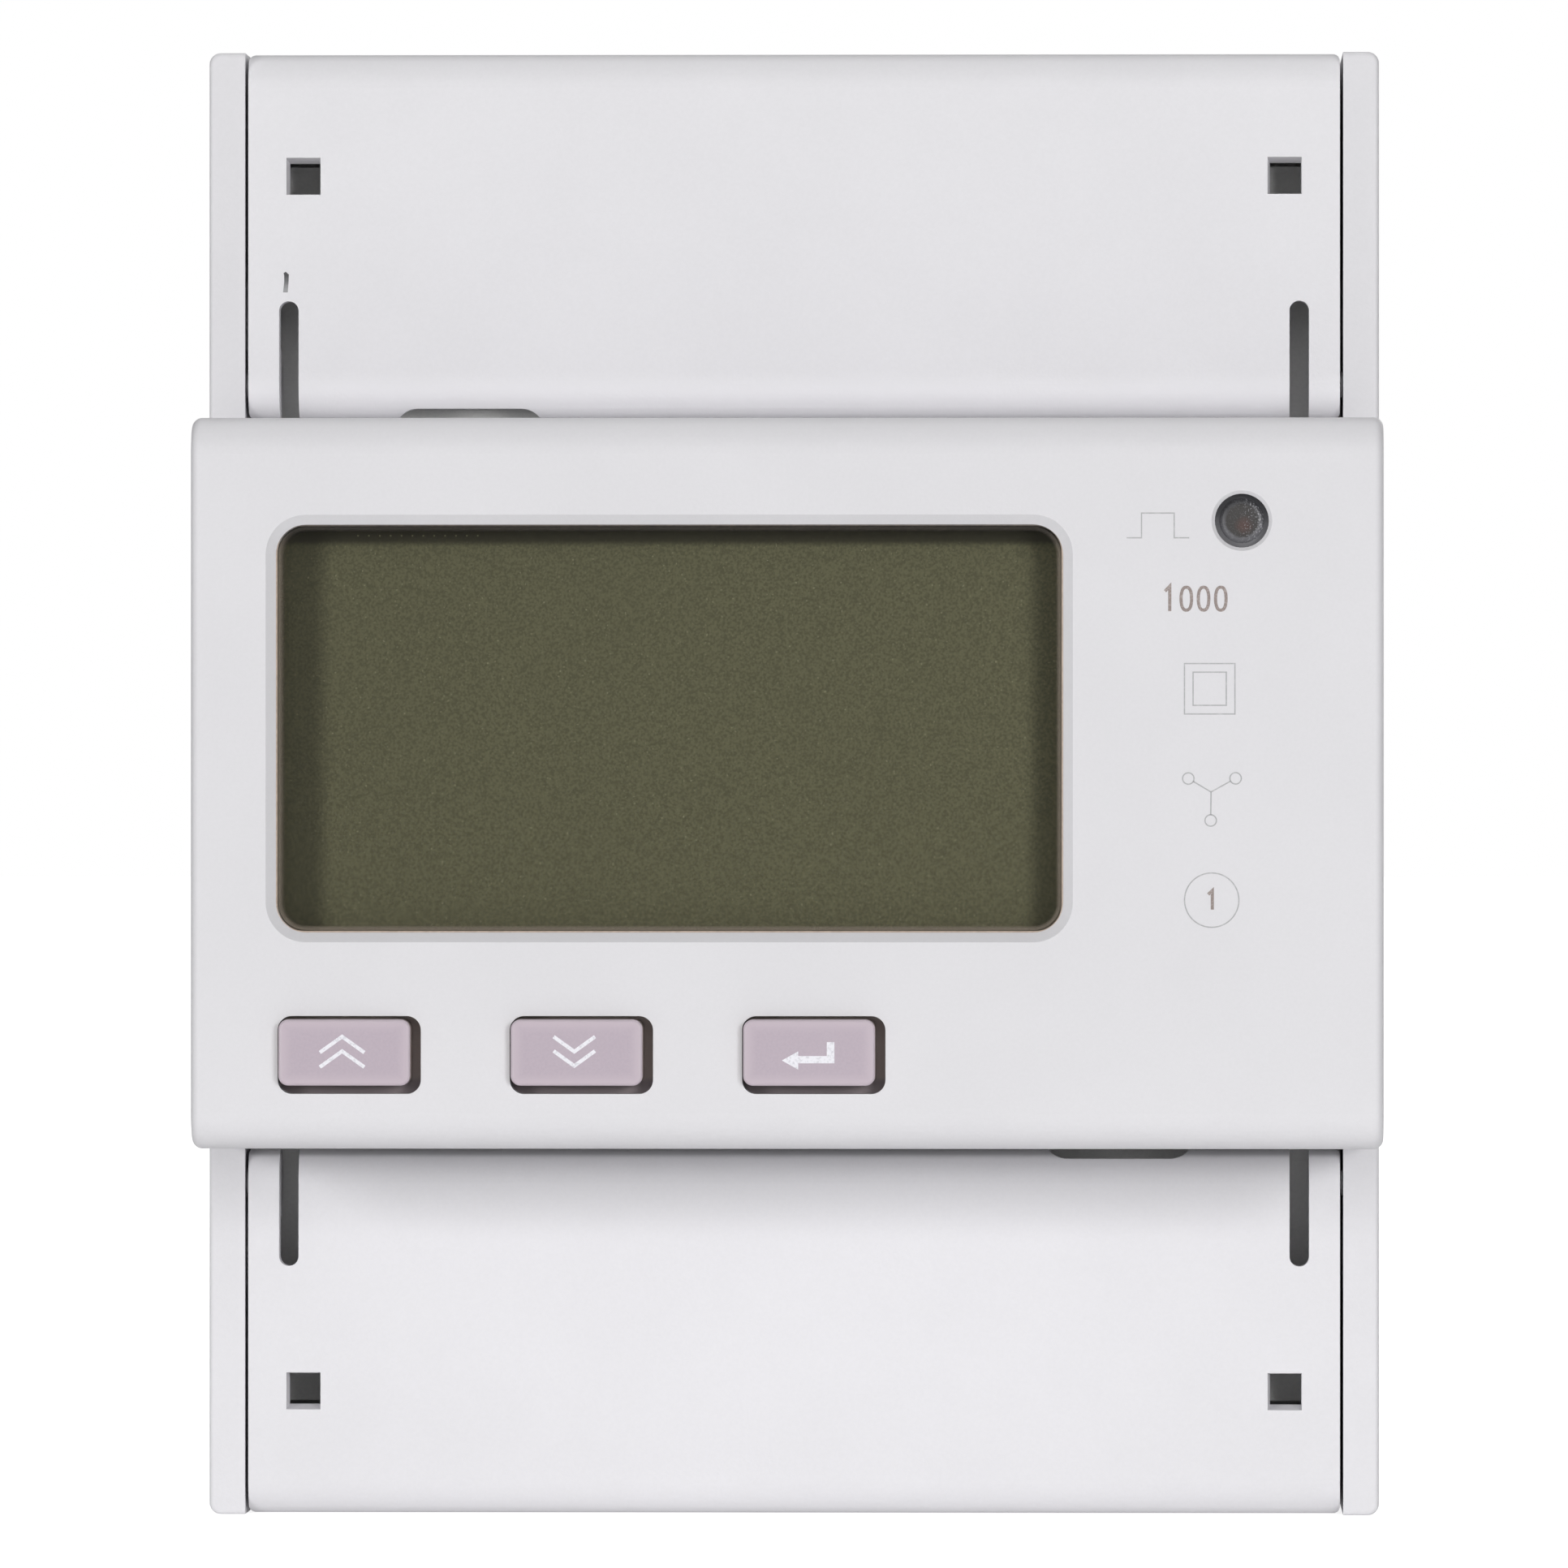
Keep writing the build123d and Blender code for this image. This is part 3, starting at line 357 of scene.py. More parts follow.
def linear(colour):
    """An sRGB colour from 0 to 255 as the shader's own values."""
    def channel(value):
        value /= 255
        return value / 12.92 if value <= 0.04045 else ((value + 0.055) / 1.055) ** 2.4
    return (*(channel(v) for v in colour), 1.0)


class Look:
    """A material and its nodes, with short calls to add and join them."""

    def __init__(self, name):
        self.material = bpy.data.materials.new(name)
        self.material.use_nodes = True
        self.tree = self.material.node_tree
        self.shader = self.tree.nodes["Principled BSDF"]
        self.place = self.node("ShaderNodeTexCoord").outputs["Object"]

    def node(self, kind, **settings):
        """A new node of that kind with those settings."""
        made = self.tree.nodes.new(kind)
        for name, value in settings.items():
            setattr(made, name, value)
        return made

    def join(self, source, target):
        """Gives an input a plain number or another node's output."""
        if isinstance(source, (int, float)):
            target.default_value = source
        else:
            self.tree.links.new(source, target)

    def math(self, operation, *values):
        """The result of a math node on numbers or outputs."""
        made = self.node("ShaderNodeMath", operation=operation)
        for value, target in zip(values, made.inputs):
            self.join(value, target)
        return made.outputs[0]

    def noise(self, feature, detail=2.0, rough=0.5, stretch=None):
        """Noise whose features have that size in metres; stretch scales the axes first."""
        place = self.place
        if stretch:
            made = self.node("ShaderNodeVectorMath", operation="MULTIPLY")
            self.join(place, made.inputs[0])
            made.inputs[1].default_value = stretch
            place = made.outputs[0]
        made = self.node("ShaderNodeTexNoise")
        self.join(place, made.inputs["Vector"])
        made.inputs["Scale"].default_value = 1 / feature
        made.inputs["Detail"].default_value = detail
        made.inputs["Roughness"].default_value = rough
        return made.outputs["Fac"]

    def between(self, value, low, high, to_low=0.0, to_high=1.0):
        """value carried smoothly from the range low to high into to_low to to_high."""
        made = self.node("ShaderNodeMapRange", interpolation_type="SMOOTHSTEP")
        for name, number in (("From Min", low), ("From Max", high), ("To Min", to_low),
                             ("To Max", to_high)):
            made.inputs[name].default_value = number
        self.join(value, made.inputs["Value"])
        return made.outputs["Result"]

    def spread(self, noise, to_low=0.0, to_high=1.0):
        """The range that a noise mostly keeps to, carried into to_low to to_high."""
        return self.between(noise, *NOISE_RANGE, to_low, to_high)

    def mix(self, share, first, second):
        """The first colour where share is 0 and the second where it is 1."""
        made = self.node("ShaderNodeMix", data_type="RGBA")
        self.join(share, made.inputs["Factor"])
        for source, target in ((first, made.inputs["A"]), (second, made.inputs["B"])):
            if isinstance(source, tuple):
                target.default_value = source
            else:
                self.join(source, target)
        return made.outputs["Result"]

    def axes(self):
        """X, Y and Z of the shaded point, in metres."""
        made = self.node("ShaderNodeSeparateXYZ")
        self.join(self.place, made.inputs[0])
        return made.outputs

    def distance_in(self, centre, width, height, corner):
        """Distance inwards from a rounded rectangle's edge in X and Z, negative outside."""
        x, _, z = self.axes()
        reach = []
        for value, middle, size in ((x, centre[0], width), (z, centre[1], height)):
            off = self.math("ABSOLUTE", self.math("SUBTRACT", value, middle))
            reach.append(self.math("SUBTRACT", off, size / 2 - corner))
        outside = [self.math("MAXIMUM", value, 0.0) for value in reach]
        squares = [self.math("MULTIPLY", value, value) for value in outside]
        far = self.math("SQRT", self.math("ADD", *squares))
        near = self.math("MINIMUM", self.math("MAXIMUM", *reach), 0.0)
        return self.math("SUBTRACT", corner, self.math("ADD", far, near))

    def bump(self, height, distance):
        """A relief of that many metres from a height of 0 to 1."""
        made = self.node("ShaderNodeBump")
        made.inputs["Distance"].default_value = distance
        made.inputs["Strength"].default_value = 1.0
        self.join(height, made.inputs["Height"])
        self.join(made.outputs["Normal"], self.shader.inputs["Normal"])

    def finish(self, colour, rough, **values):
        """Colour and roughness, either plain or from nodes, and plain values by socket name."""
        for source, name in ((colour, "Base Color"), (rough, "Roughness")):
            if isinstance(source, tuple):
                self.shader.inputs[name].default_value = source
            else:
                self.join(source, self.shader.inputs[name])
        for name, value in values.items():
            self.shader.inputs[SOCKETS[name]].default_value = value
        return self.material


def shade(colour, factor):
    """A lighter or darker version of a shader colour."""
    return (*(min(1.0, c * factor) for c in colour[:3]), 1.0)


def mottled(look, fine):
    """A call that gives the look's colour, times a factor, a fine grain and a faint mottle."""
    wide = look.noise(MOTTLE, detail=2.0)
    tone = look.math("ADD", look.spread(fine, -0.5, 0.5), look.spread(wide, -0.5, 0.5))
    share = look.math("MULTIPLY_ADD", tone, 0.5, 0.5)

    def toned(base, swing, factor=1.0):
        return look.mix(share, shade(base, factor - swing), shade(base, factor + swing))

    return toned


def grained(look, fine, rough):
    """A roughness about that value that follows the grain."""
    return look.between(fine, *GRAIN_RANGE, rough - ROUGH_SWING, rough + ROUGH_SWING)


def moulded(name, colour, rough=PLASTIC_ROUGH, relief=PLASTIC_RELIEF, swing=PLASTIC_SWING,
            foot_light=0.0):
    """Moulded plastic with a spark-eroded grain; painted light makes it paler at its foot by the
    share that the last argument gives.
    """
    look = Look(name)
    base = linear(colour)
    fine = look.noise(SPARK_GRAIN, detail=3.0, rough=0.6)
    toned = mottled(look, fine)
    mixed = toned(base, swing)
    if foot_light:
        # Painted light: a paler tone towards the foot
        foot = look.between(look.axes()[2], -CASE_HALF, 0.0, 1.0, 0.0)
        mixed = look.mix(foot, mixed, toned(base, swing, 1.0 + foot_light))
    look.bump(fine, relief)
    return look.finish(mixed, rough=grained(look, fine, rough))


def cover_plastic():
    """The covers' plastic: painted light along the upper inner roll, painted shade along the lower
    one.
    """
    look = Look("cover_plastic")
    base = linear(COVER)
    fine = look.noise(SPARK_GRAIN, detail=3.0, rough=0.6)
    mixed = mottled(look, fine)(base, PLASTIC_SWING)
    z = look.axes()[2]
    # Painted light along the upper inner roll, facing the block
    lit_roll = look.math("MULTIPLY", look.between(z, LIT_ROLL_FULL, LIT_ROLL_END, 1.0, 0.0),
                     look.math("GREATER_THAN", z, 0.0))
    mixed = look.mix(lit_roll, mixed, shade(base, LIT_ROLL_FACTOR))
    # Painted shade along the lower inner roll, under the block's edge
    under_shade = look.math("MULTIPLY", look.between(z, UNDER_SHADE_START, UNDER_SHADE_FULL, 0.0, UNDER_SHADE_SHARE),
                     look.math("LESS_THAN", z, 0.0))
    look.bump(fine, PLASTIC_RELIEF)
    return look.finish(look.mix(under_shade, mixed, linear(UNDER_BLOCK_SHADE)),
                       rough=grained(look, fine, PLASTIC_ROUGH))


def metal(name, colour, rough=0.32, brushed=(1.0, 0.08, 1.0), dull=None):
    """Plated metal with drawn or turned streaks and a few dull patches."""
    look = Look(name)
    base = linear(colour)
    streak = look.noise(STREAK, detail=3.0, stretch=brushed)
    patch = look.noise(PATCH, detail=4.0, rough=0.6)
    mixed = look.mix(look.between(patch, *PATCH_RANGE), shade(base, BRIGHT_FACTOR),
                     shade(linear(dull) if dull else base, DULL_FACTOR))
    look.bump(streak, SMOOTH_RELIEF)
    streaky = look.spread(streak, rough - STREAK_SMOOTHER, rough + STREAK_ROUGHER)
    return look.finish(mixed, rough=streaky, metallic=1.0)


def middle_of(node):
    """The middle of a node's box in X and Z."""
    low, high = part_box(node)
    return (low.x + high.x) / 2, (low.z + high.z) / 2


def key_plastic(key):
    """Satin key cap, paler and warmer towards its rim, with painted shade low on its sides."""
    look = Look(f"key_plastic_{key}")
    low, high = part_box(f"button_{key}")
    rim = look.distance_in(middle_of(f"button_{key}"), high.x - low.x - 2 * KEY_FLANGE,
                           high.z - low.z - 2 * KEY_FLANGE, KEY_CORNER)
    fine = look.noise(KEY_GRAIN, detail=2.0)
    base = look.mix(look.between(rim, *KEY_RIM), linear(KEY_EDGE), linear(KEY))
    face = look.mix(look.spread(fine, 0.0, KEY_GRAIN_SHARE), base, linear(KEY_EDGE))
    above = look.math("SUBTRACT", look.axes()[2], low.z + KEY_FLANGE)
    # Painted shade low on the sides
    side = look.mix(look.between(above, *KEY_SHADE_FADE), linear(KEY_UNDER_SHADE), linear(KEY_SIDE))
    behind = look.math("SUBTRACT", look.axes()[1], low.y)
    tone = look.mix(look.between(behind, *KEY_ROUND), face, side)
    look.bump(fine, KEY_RELIEF)
    return look.finish(tone, rough=look.spread(fine, 0.36, 0.46), specular=0.4)


def window_place():
    """Centre, width and height of the lens's raised pad."""
    low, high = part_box("window_lens")
    return (middle_of("window_lens"), high.x - low.x - 2 * LENS_OVERLAP,
            high.z - low.z - 2 * LENS_OVERLAP)


def display_cell():
    """Blank reflective cell: olive, grainy, darker towards the left, with painted shadow of the
    window's frame along three sides.
    """
    look = Look("display_cell")
    centre, width, height = window_place()
    x, _, z = look.axes()
    base = linear(DISPLAY)
    grain = look.noise(DISPLAY_SPECK, detail=1.0)
    point = look.noise(DISPLAY_POINT, detail=0.0)
    cloud = look.noise(DISPLAY_CLOUD, detail=1.0)
    left = look.math("SUBTRACT", x, centre[0] - width / 2)
    right = look.math("SUBTRACT", centre[0] + width / 2, x)
    top = look.math("SUBTRACT", centre[1] + height / 2, z)
    colour = look.mix(look.spread(grain), *(shade(base, factor) for factor in SPECK_FACTORS))
    colour = look.mix(look.spread(cloud, 0.0, CLOUD_SHARE), colour, shade(base, CLOUD_FACTOR))
    colour = look.mix(look.between(left, 0.0, width, LEFT_SHADE_SHARE, 0.0), colour,
                      shade(base, LEFT_SHADE_FACTOR))
    colour = look.mix(look.between(point, *POINT_RANGE, 0.0, POINT_SHARE), colour,
                      linear(DISPLAY_SPARK))
    # Painted shadow of the window's frame along the left, right and top
    for inwards, (start, end, share) in ((left, SHADOW_LEFT), (right, SHADOW_RIGHT), (top, SHADOW_TOP)):
        colour = look.mix(look.between(inwards, start, end, share, 0.0), colour,
                          linear(DISPLAY_SHADOW))
    spot = look.math("FRACT", look.math("DIVIDE", x, DOT_PITCH))
    aside = look.math("MULTIPLY", look.math("ABSOLUTE", look.math("SUBTRACT", spot, 0.5)),
                      DOT_PITCH)
    level = look.math("ABSOLUTE", look.math("SUBTRACT", top, DOT_DROP))
    dot = look.between(look.math("MAXIMUM", aside, level), *DOT_FADE, DOT_STRENGTH, 0.0)
    row = look.math("LESS_THAN", look.math("ABSOLUTE", look.math("SUBTRACT", left, DOT_MIDDLE)),
                    DOT_REACH)
    colour = look.mix(look.math("MULTIPLY", dot, row), colour, linear(DISPLAY_SPARK))
    look.bump(grain, CELL_RELIEF)
    return look.finish(colour, rough=look.spread(grain, 0.42, 0.55), specular=0.25)


def clear_lens():
    """Clear window: light passes straight, the surface reflects, the rim is dark, with painted
    shade at its top.
    """
    look = Look("clear_lens")
    centre, width, height = window_place()
    rim = look.distance_in(centre, width, height, WINDOW_CORNER)
    clear = look.node("ShaderNodeBsdfTransparent")
    clear.inputs["Color"].default_value = LENS_CLEAR
    gloss = look.node("ShaderNodeBsdfGlossy")
    fine = look.noise(LENS_WAVE, detail=2.0)
    look.join(look.spread(fine, 0.03, 0.07), gloss.inputs["Roughness"])
    fresnel = look.node("ShaderNodeFresnel")
    fresnel.inputs["IOR"].default_value = LENS_IOR
    window = look.node("ShaderNodeMixShader")
    look.join(fresnel.outputs[0], window.inputs[0])
    look.join(clear.outputs[0], window.inputs[1])
    look.join(gloss.outputs[0], window.inputs[2])
    top = look.math("SUBTRACT", centre[1] + height / 2, look.axes()[2])
    # Painted shade on the rim towards its top
    tone = look.mix(look.between(top, *RIM_SHADE_FADE), linear(LENS_RIM_TOP_SHADE), linear(LENS_RIM))
    look.finish(tone, rough=look.spread(fine, 0.3, 0.4), specular=0.2)
    edge = look.node("ShaderNodeMixShader")
    look.join(look.between(rim, *LENS_RIM_FADE, LENS_RIM_CLEAR, 1.0), edge.inputs[0])
    look.join(look.shader.outputs[0], edge.inputs[1])
    look.join(window.outputs[0], edge.inputs[2])
    look.join(edge.outputs[0], look.tree.nodes["Material Output"].inputs["Surface"])
    return look.material


def lamp_epoxy():
    """Smoked epoxy: a darker flat face with a faint warm core, a rim with painted light low and
    painted shade at its top, and small bubbles at its rim.
    """
    look = Look("lamp_epoxy")
    middle_x, middle_z = middle_of("pulse_led")
    x, _, z = look.axes()

    def away_from(place_x, place_z):
        offs = [look.math("SUBTRACT", value, place)
                for value, place in ((x, place_x), (z, place_z))]
        return look.math("SQRT", look.math("ADD", *(look.math("MULTIPLY", v, v) for v in offs)))

    cloud = look.noise(LAMP_CLOUD, detail=3.0)
    bubble = look.noise(BUBBLE, detail=1.0)
    warm = look.math("MULTIPLY_ADD", cloud, CORE_WOBBLE,
                     away_from(middle_x + CORE_RIGHT, middle_z - CORE_DOWN))
    face = look.mix(look.between(warm, *CORE_FADE), linear(LAMP_CORE), linear(LAMP_FACE))
    high_up = look.math("SUBTRACT", z, middle_z)
    # Painted light low on the rim and painted shade at its top
    rim = look.mix(look.between(high_up, *LAMP_SHADING), shade(linear(LAMP), LAMP_LOW_LIGHT),
                   shade(linear(LAMP), LAMP_TOP_SHADE))
    wobble = look.math("MULTIPLY_ADD", cloud, LAMP_WOBBLE, away_from(middle_x, middle_z))
    edge = look.between(wobble, *LAMP_EDGE)
    right = look.math("SUBTRACT", x, middle_x)
    aside = look.between(right, *BUBBLE_SIDE, BUBBLE_LEFT_SHARE, 1.0)
    light = look.math("MULTIPLY", look.between(bubble, *BUBBLE_RANGE), aside)
    colour = look.mix(look.math("MULTIPLY", light, BUBBLE_SHARE), look.mix(edge, face, rim),
                      shade(linear(LAMP), BUBBLE_FACTOR))
    look.bump(bubble, BUBBLE_RELIEF)
    rough = look.math("SUBTRACT", look.spread(cloud, 0.3, 0.5),
                      look.math("MULTIPLY", edge, LAMP_RIM_GLOSS))
    return look.finish(colour, rough=rough, specular=0.4)


def bands(look, way, pitch, **values):
    """Even bands across an axis, with other values of the wave node by name."""
    wave = look.node("ShaderNodeTexWave", wave_type="BANDS", bands_direction=way)
    look.join(look.place, wave.inputs["Vector"])
    wave.inputs["Scale"].default_value = 1 / pitch
    for name, value in values.items():
        wave.inputs[name].default_value = value
    return wave.outputs["Fac"]


def fibreglass():
    """Green solder mask over a woven board, with faint track relief."""
    look = Look("fibreglass")
    weave = bands(look, "DIAGONAL", WEAVE_PITCH, Distortion=WEAVE_DISTORTION)
    track = look.noise(TRACK, detail=0.0)
    share = look.math("MULTIPLY", weave, look.between(track, *TRACK_TONE_RANGE, PLAIN_SHARE, 1.0))
    colour = look.mix(share, *(shade(linear(BOARD), factor) for factor in TRACK_FACTORS))
    look.bump(look.between(track, *TRACK_EDGE_RANGE), TRACK_RELIEF)
    return look.finish(colour, rough=look.between(track, *TRACK_GLOSS_RANGE, 0.28, 0.4))


def wound_core():
    """Laminated core and copper winding of the supply transformer, told apart by height."""
    look = Look("wound_core")
    middle_z = middle_of("supply_transformer")[1]
    lamination = bands(look, "Z", LAMINATION_PITCH)
    turn = bands(look, "Y", WIRE_PITCH)
    off = look.math("ABSOLUTE", look.math("SUBTRACT", look.axes()[2], middle_z))
    outside = look.math("GREATER_THAN", off, WINDING_HALF)
    steel = look.mix(lamination, linear(CORE_GAP), linear(CORE_STEEL))
    copper = linear(COPPER_WINDING)
    wire = look.mix(turn, copper, shade(copper, WIRE_DARK_FACTOR))
    look.bump(turn, WIRE_RELIEF)
    rough = look.between(turn, 0.0, 1.0, 0.3, 0.5)
    return look.finish(look.mix(outside, steel, wire), rough=rough, metallic=0.6)


def printed(name, colour, gaps, dots):
    """Laser-marked or printed line, a little uneven."""
    look = Look(name)
    fine = look.noise(dots, detail=1.0)
    mixed = look.mix(look.between(fine, *GAP_RANGE, 0.0, GAP_SHARE), linear(colour), linear(gaps))
    look.bump(fine, PRINT_RELIEF)
    return look.finish(mixed, rough=look.spread(fine, 0.5, 0.62))


def dress(material, *nodes):
    """Gives CAD nodes a material in place of their own."""
    for name in nodes:
        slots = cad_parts[name].data.materials
        slots.clear()
        slots.append(material)


def named(start):
    """The names of the CAD nodes that start so."""
    return [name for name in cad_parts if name.startswith(start)]


def dress_frame():
    """A finish for every node of the frame."""
    dress(moulded("case_plastic", CASE, foot_light=CASE_FOOT_LIGHT), "base_housing", "front_housing")
    dress(cover_plastic(), *named("terminal_cover"))
    dress(moulded("insulator_plastic", INSULATOR, rough=0.5, swing=0.05),
          *named("terminal_block"))
    dress(moulded("clip_plastic", CLIP, rough=0.45, swing=0.1), "rail_clip")
    dress(metal("tinned_brass", BRASS, brushed=(1.0, 1.0, 0.06), dull=BRASS_DULL),
          *named("busbar"), "signal_contacts")
    dress(metal("zinc_plate", ZINC, rough=0.34), *named("power_cage"), *named("signal_cage"))
    dress(metal("screw_steel", STEEL, rough=0.28, brushed=(1.0, 0.2, 0.2)),
          *named("power_screw"), *named("signal_screw"), "display_board_screws",
          "power_board_screws")
    dress(moulded("transformer_case", TRANSFORMER, rough=0.4, relief=CASTING_RELIEF, swing=0.08),
          *named("current_transformer"))
    dress(wound_core(), "supply_transformer")
    dress(clear_lens(), "window_lens")
    dress(display_cell(), "lcd_glass")
    dress(moulded("light_guide", LIGHT_GUIDE, rough=0.2, relief=SMOOTH_RELIEF), "lcd_backlight")
    dress(lamp_epoxy(), "pulse_led")
    dress(fibreglass(), "display_board", "power_board")
    dress(moulded("connector_plastic", CONNECTOR, rough=0.42, swing=0.1), "board_connector",
          *named("switch_body"))
    dress(moulded("capacitor_sleeve", CAPACITOR, rough=0.3, relief=SMOOTH_RELIEF, swing=0.06),
          "supply_capacitors")
    dress(moulded("plunger_plastic", PLUNGER, rough=0.4), *named("switch_plunger"))
    for key in KEYS:
        dress(key_plastic(key), f"button_{key}")


def sides_of(points, width, closed):
    """The two edges of a stroke along a line of points, with mitred corners."""
    count = len(points)
    first, second = [], []
    for i, point in enumerate(points):
        before = points[(i - 1) % count] if closed or i > 0 else None
        after = points[(i + 1) % count] if closed or i < count - 1 else None
        ways = []
        for a, b in ((before, point), (point, after)):
            if a is not None and b is not None:
                ways.append(Vector((b[0] - a[0], b[1] - a[1])).normalized())
        middle = sum(ways, Vector((0, 0))).normalized()
        across = Vector((-middle.y, middle.x))
        flat = Vector((-ways[0].y, ways[0].x))
        offset = across * (width / 2 / max(MITRE_LIMIT, across.dot(flat)))
        here = Vector(point)
        first.append(here + offset)
        second.append(here - offset)
    return first, second


def stroke(mesh, points, width, front, back, closed=False):
    """A flat closed ribbon along points in X and Z, from the front to the back level in Y."""
    rows = sides_of(points, width, closed)
    rings = [[mesh.verts.new((p.x, y, p.y)) for p in row] for y in (front, back) for row in rows]
    left, right, left_back, right_back = rings
    steps = len(points) if closed else len(points) - 1
    for i in range(steps):
        j = (i + 1) % len(points)
        for a, b in ((left, right), (right, right_back), (right_back, left_back),
                     (left_back, left)):
            mesh.faces.new((a[i], a[j], b[j], b[i]))
    if not closed:
        for i in (0, -1):
            mesh.faces.new((left[i], right[i], right_back[i], left_back[i]))


def scaled(points):
    """Points in millimetres as metres."""
    return [(x * MM, z * MM) for x, z in points]


def flat_line(mesh, points, width, face, closed=False):
    """A stroke along points in millimetres, just proud of a face."""
    stroke(mesh, scaled(points), width, face - PROUD, face + PROUD, closed)


def flat_plate(mesh, points, face):
    """A closed plate with that outline in millimetres, just proud of a face."""
    near, far = ([mesh.verts.new((x, y, z)) for x, z in scaled(points)]
                 for y in (face - PROUD, face + PROUD))
    mesh.faces.new(near)
    mesh.faces.new(far[::-1])
    for i in range(len(points)):
        j = (i + 1) % len(points)
        mesh.faces.new((near[i], far[i], far[j], near[j]))


def circle(x, z, radius, steps=CIRCLE_STEPS):
    """Points evenly round a circle."""
    turns = [i * math.tau / steps for i in range(steps)]
    return [(x + radius * math.cos(turn), z + radius * math.sin(turn)) for turn in turns]


def corners(left, right, low, high):
    """The corners of a rectangle, in turn."""
    return [(left, low), (right, low), (right, high), (left, high)]


def piece(name, material, body, build, *values):
    """An object riding on a body, whose mesh build fills from those values."""
    mesh = bmesh.new()
    build(mesh, *values)
    bmesh.ops.recalc_face_normals(mesh, faces=mesh.faces)
    data = bpy.data.meshes.new(name)
    mesh.to_mesh(data)
    mesh.free()
    data.materials.append(material)
    made = bpy.data.objects.new(name, data)
    bpy.context.scene.collection.objects.link(made)
    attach(made, body)


def pulse_wave(mesh, face):
    """One square pulse between two level ends."""
    left, right = PULSE_ENDS
    up, down = PULSE_STEPS
    low, high = PULSE_LEVELS
    points = [(left, low), (up, low), (up, high), (down, high), (down, low), (right, low)]
    flat_line(mesh, points, LINE_WIDTH, face)


def digit(mesh, figure, place, size, face):
    """A plain one or nought about a place, in millimetres."""
    x, z = place
    width, height = size
    if figure == "1":
        points = [(x + across * width, z + up * height) for across, up in ONE_SHARES]
        flat_line(mesh, points, NUMBER_WIDTH, face)
        return
    points = []
    for turn_x, turn_z in circle(0.0, 0.0, 1.0):
        across, up = (share * math.copysign(abs(value) ** power, value) for share, value, power
                      in zip(NOUGHT_SHARES, (turn_x, turn_z), NOUGHT_POWERS))
        points.append((x + across * width, z + up * height))
    flat_line(mesh, points, NUMBER_WIDTH, face, closed=True)


def number(mesh, face):
    """The number's figures in a row about its place."""
    middle, level = NUMBER_PLACE
    for i, figure in enumerate(NUMBER_TEXT):
        x = middle + (i - (len(NUMBER_TEXT) - 1) / 2) * NUMBER_PITCH
        digit(mesh, figure, (x, level), NUMBER_SIZE, face)


def nested_squares(mesh, face):
    """Two squares about one middle."""
    x, z = SQUARES_PLACE
    for half in SQUARES_HALVES:
        square = corners(x - half, x + half, z - half, z + half)
        flat_line(mesh, square, LINE_WIDTH, face, closed=True)


def star(mesh, face):
    """Three spokes from one middle, each up to a small ring at its end."""
    middle = Vector(STAR_PLACE)
    for end in STAR_ENDS:
        way = Vector(end) - middle
        stop = middle + way * (1 - STAR_RING / way.length)
        flat_line(mesh, [STAR_PLACE, stop], LINE_WIDTH, face)
        flat_line(mesh, circle(*end, STAR_RING, SMALL_CIRCLE_STEPS), LINE_WIDTH, face,
                  closed=True)


def ring(mesh, face):
    """The ring round the second number."""
    flat_line(mesh, circle(*RING_PLACE, RING_RADIUS), LINE_WIDTH, face, closed=True)


def ring_number(mesh, face):
    """The figure in the ring."""
    digit(mesh, RING_TEXT, RING_PLACE, RING_SIZE, face)


def front_marks():
    """Pulse wave, plain number, nested squares, star and ringed number on the front face."""
    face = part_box("front_housing")[0].y
    grey = printed("line_mark", LINE_MARK, LINE_GAPS, LINE_DOTS)
    brown = printed("number_mark", NUMBER_MARK, NUMBER_GAPS, NUMBER_DOTS)
    for name, material, build in (
        ("mark_pulse_wave", grey, pulse_wave),
        ("mark_number", brown, number),
        ("mark_nested_squares", grey, nested_squares),
        ("mark_star", grey, star),
        ("mark_ring", grey, ring),
        ("mark_ring_number", brown, ring_number),
    ):
        piece(name, material, "housing", build, face)


def chevrons(mesh, key, x, z, face):
    """The two chevrons of the up or down key, one above the other."""
    aside, half, rise, apexes = CHEVRONS[key]
    for apex in apexes:
        points = [(x + aside - half, z + apex - rise), (x + aside, z + apex),
                  (x + aside + half, z + apex - rise)]
        flat_line(mesh, points, GLYPH_WIDTH, face)


def return_arrow(mesh, x, z, face):
    """The enter key's arrow, as one plate."""
    flat_plate(mesh, [(x + across, z + up) for across, up in ARROW_OUTLINE], face)


def key_glyphs():
    """Two chevrons up, two down and a return arrow, each riding on its key."""
    white = printed("key_glyph", GLYPH, GLYPH_GAPS, GLYPH_DOTS)
    for key in KEYS:
        x, z = (value / MM for value in middle_of(f"button_{key}"))
        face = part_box(f"button_{key}")[0].y
        if key in CHEVRONS:
            piece(f"glyph_{key}", white, f"key_{key}", chevrons, key, x, z, face)
        else:
            piece(f"glyph_{key}", white, f"key_{key}", return_arrow, x, z, face)


def seal_ring(mesh, face):
    """A ribbon round the window's pad, inside the gap that the solids leave."""
    centre, width, height = window_place()
    half_x, half_z = (size / 2 - SEAL_WIDTH / 2 + LENS_GAP for size in (width, height))
    radius = WINDOW_CORNER - SEAL_WIDTH / 2
    loop = []
    for turn, (side_x, side_z) in enumerate(((1, 1), (-1, 1), (-1, -1), (1, -1))):
        for step in range(CORNER_STEPS + 1):
            angle = (turn + step / CORNER_STEPS) * math.pi / 2
            loop.append((centre[0] + side_x * (half_x - radius) + radius * math.cos(angle),
                         centre[1] + side_z * (half_z - radius) + radius * math.sin(angle)))
    stroke(mesh, loop, SEAL_WIDTH, face - PROUD, face + PROUD, closed=True)


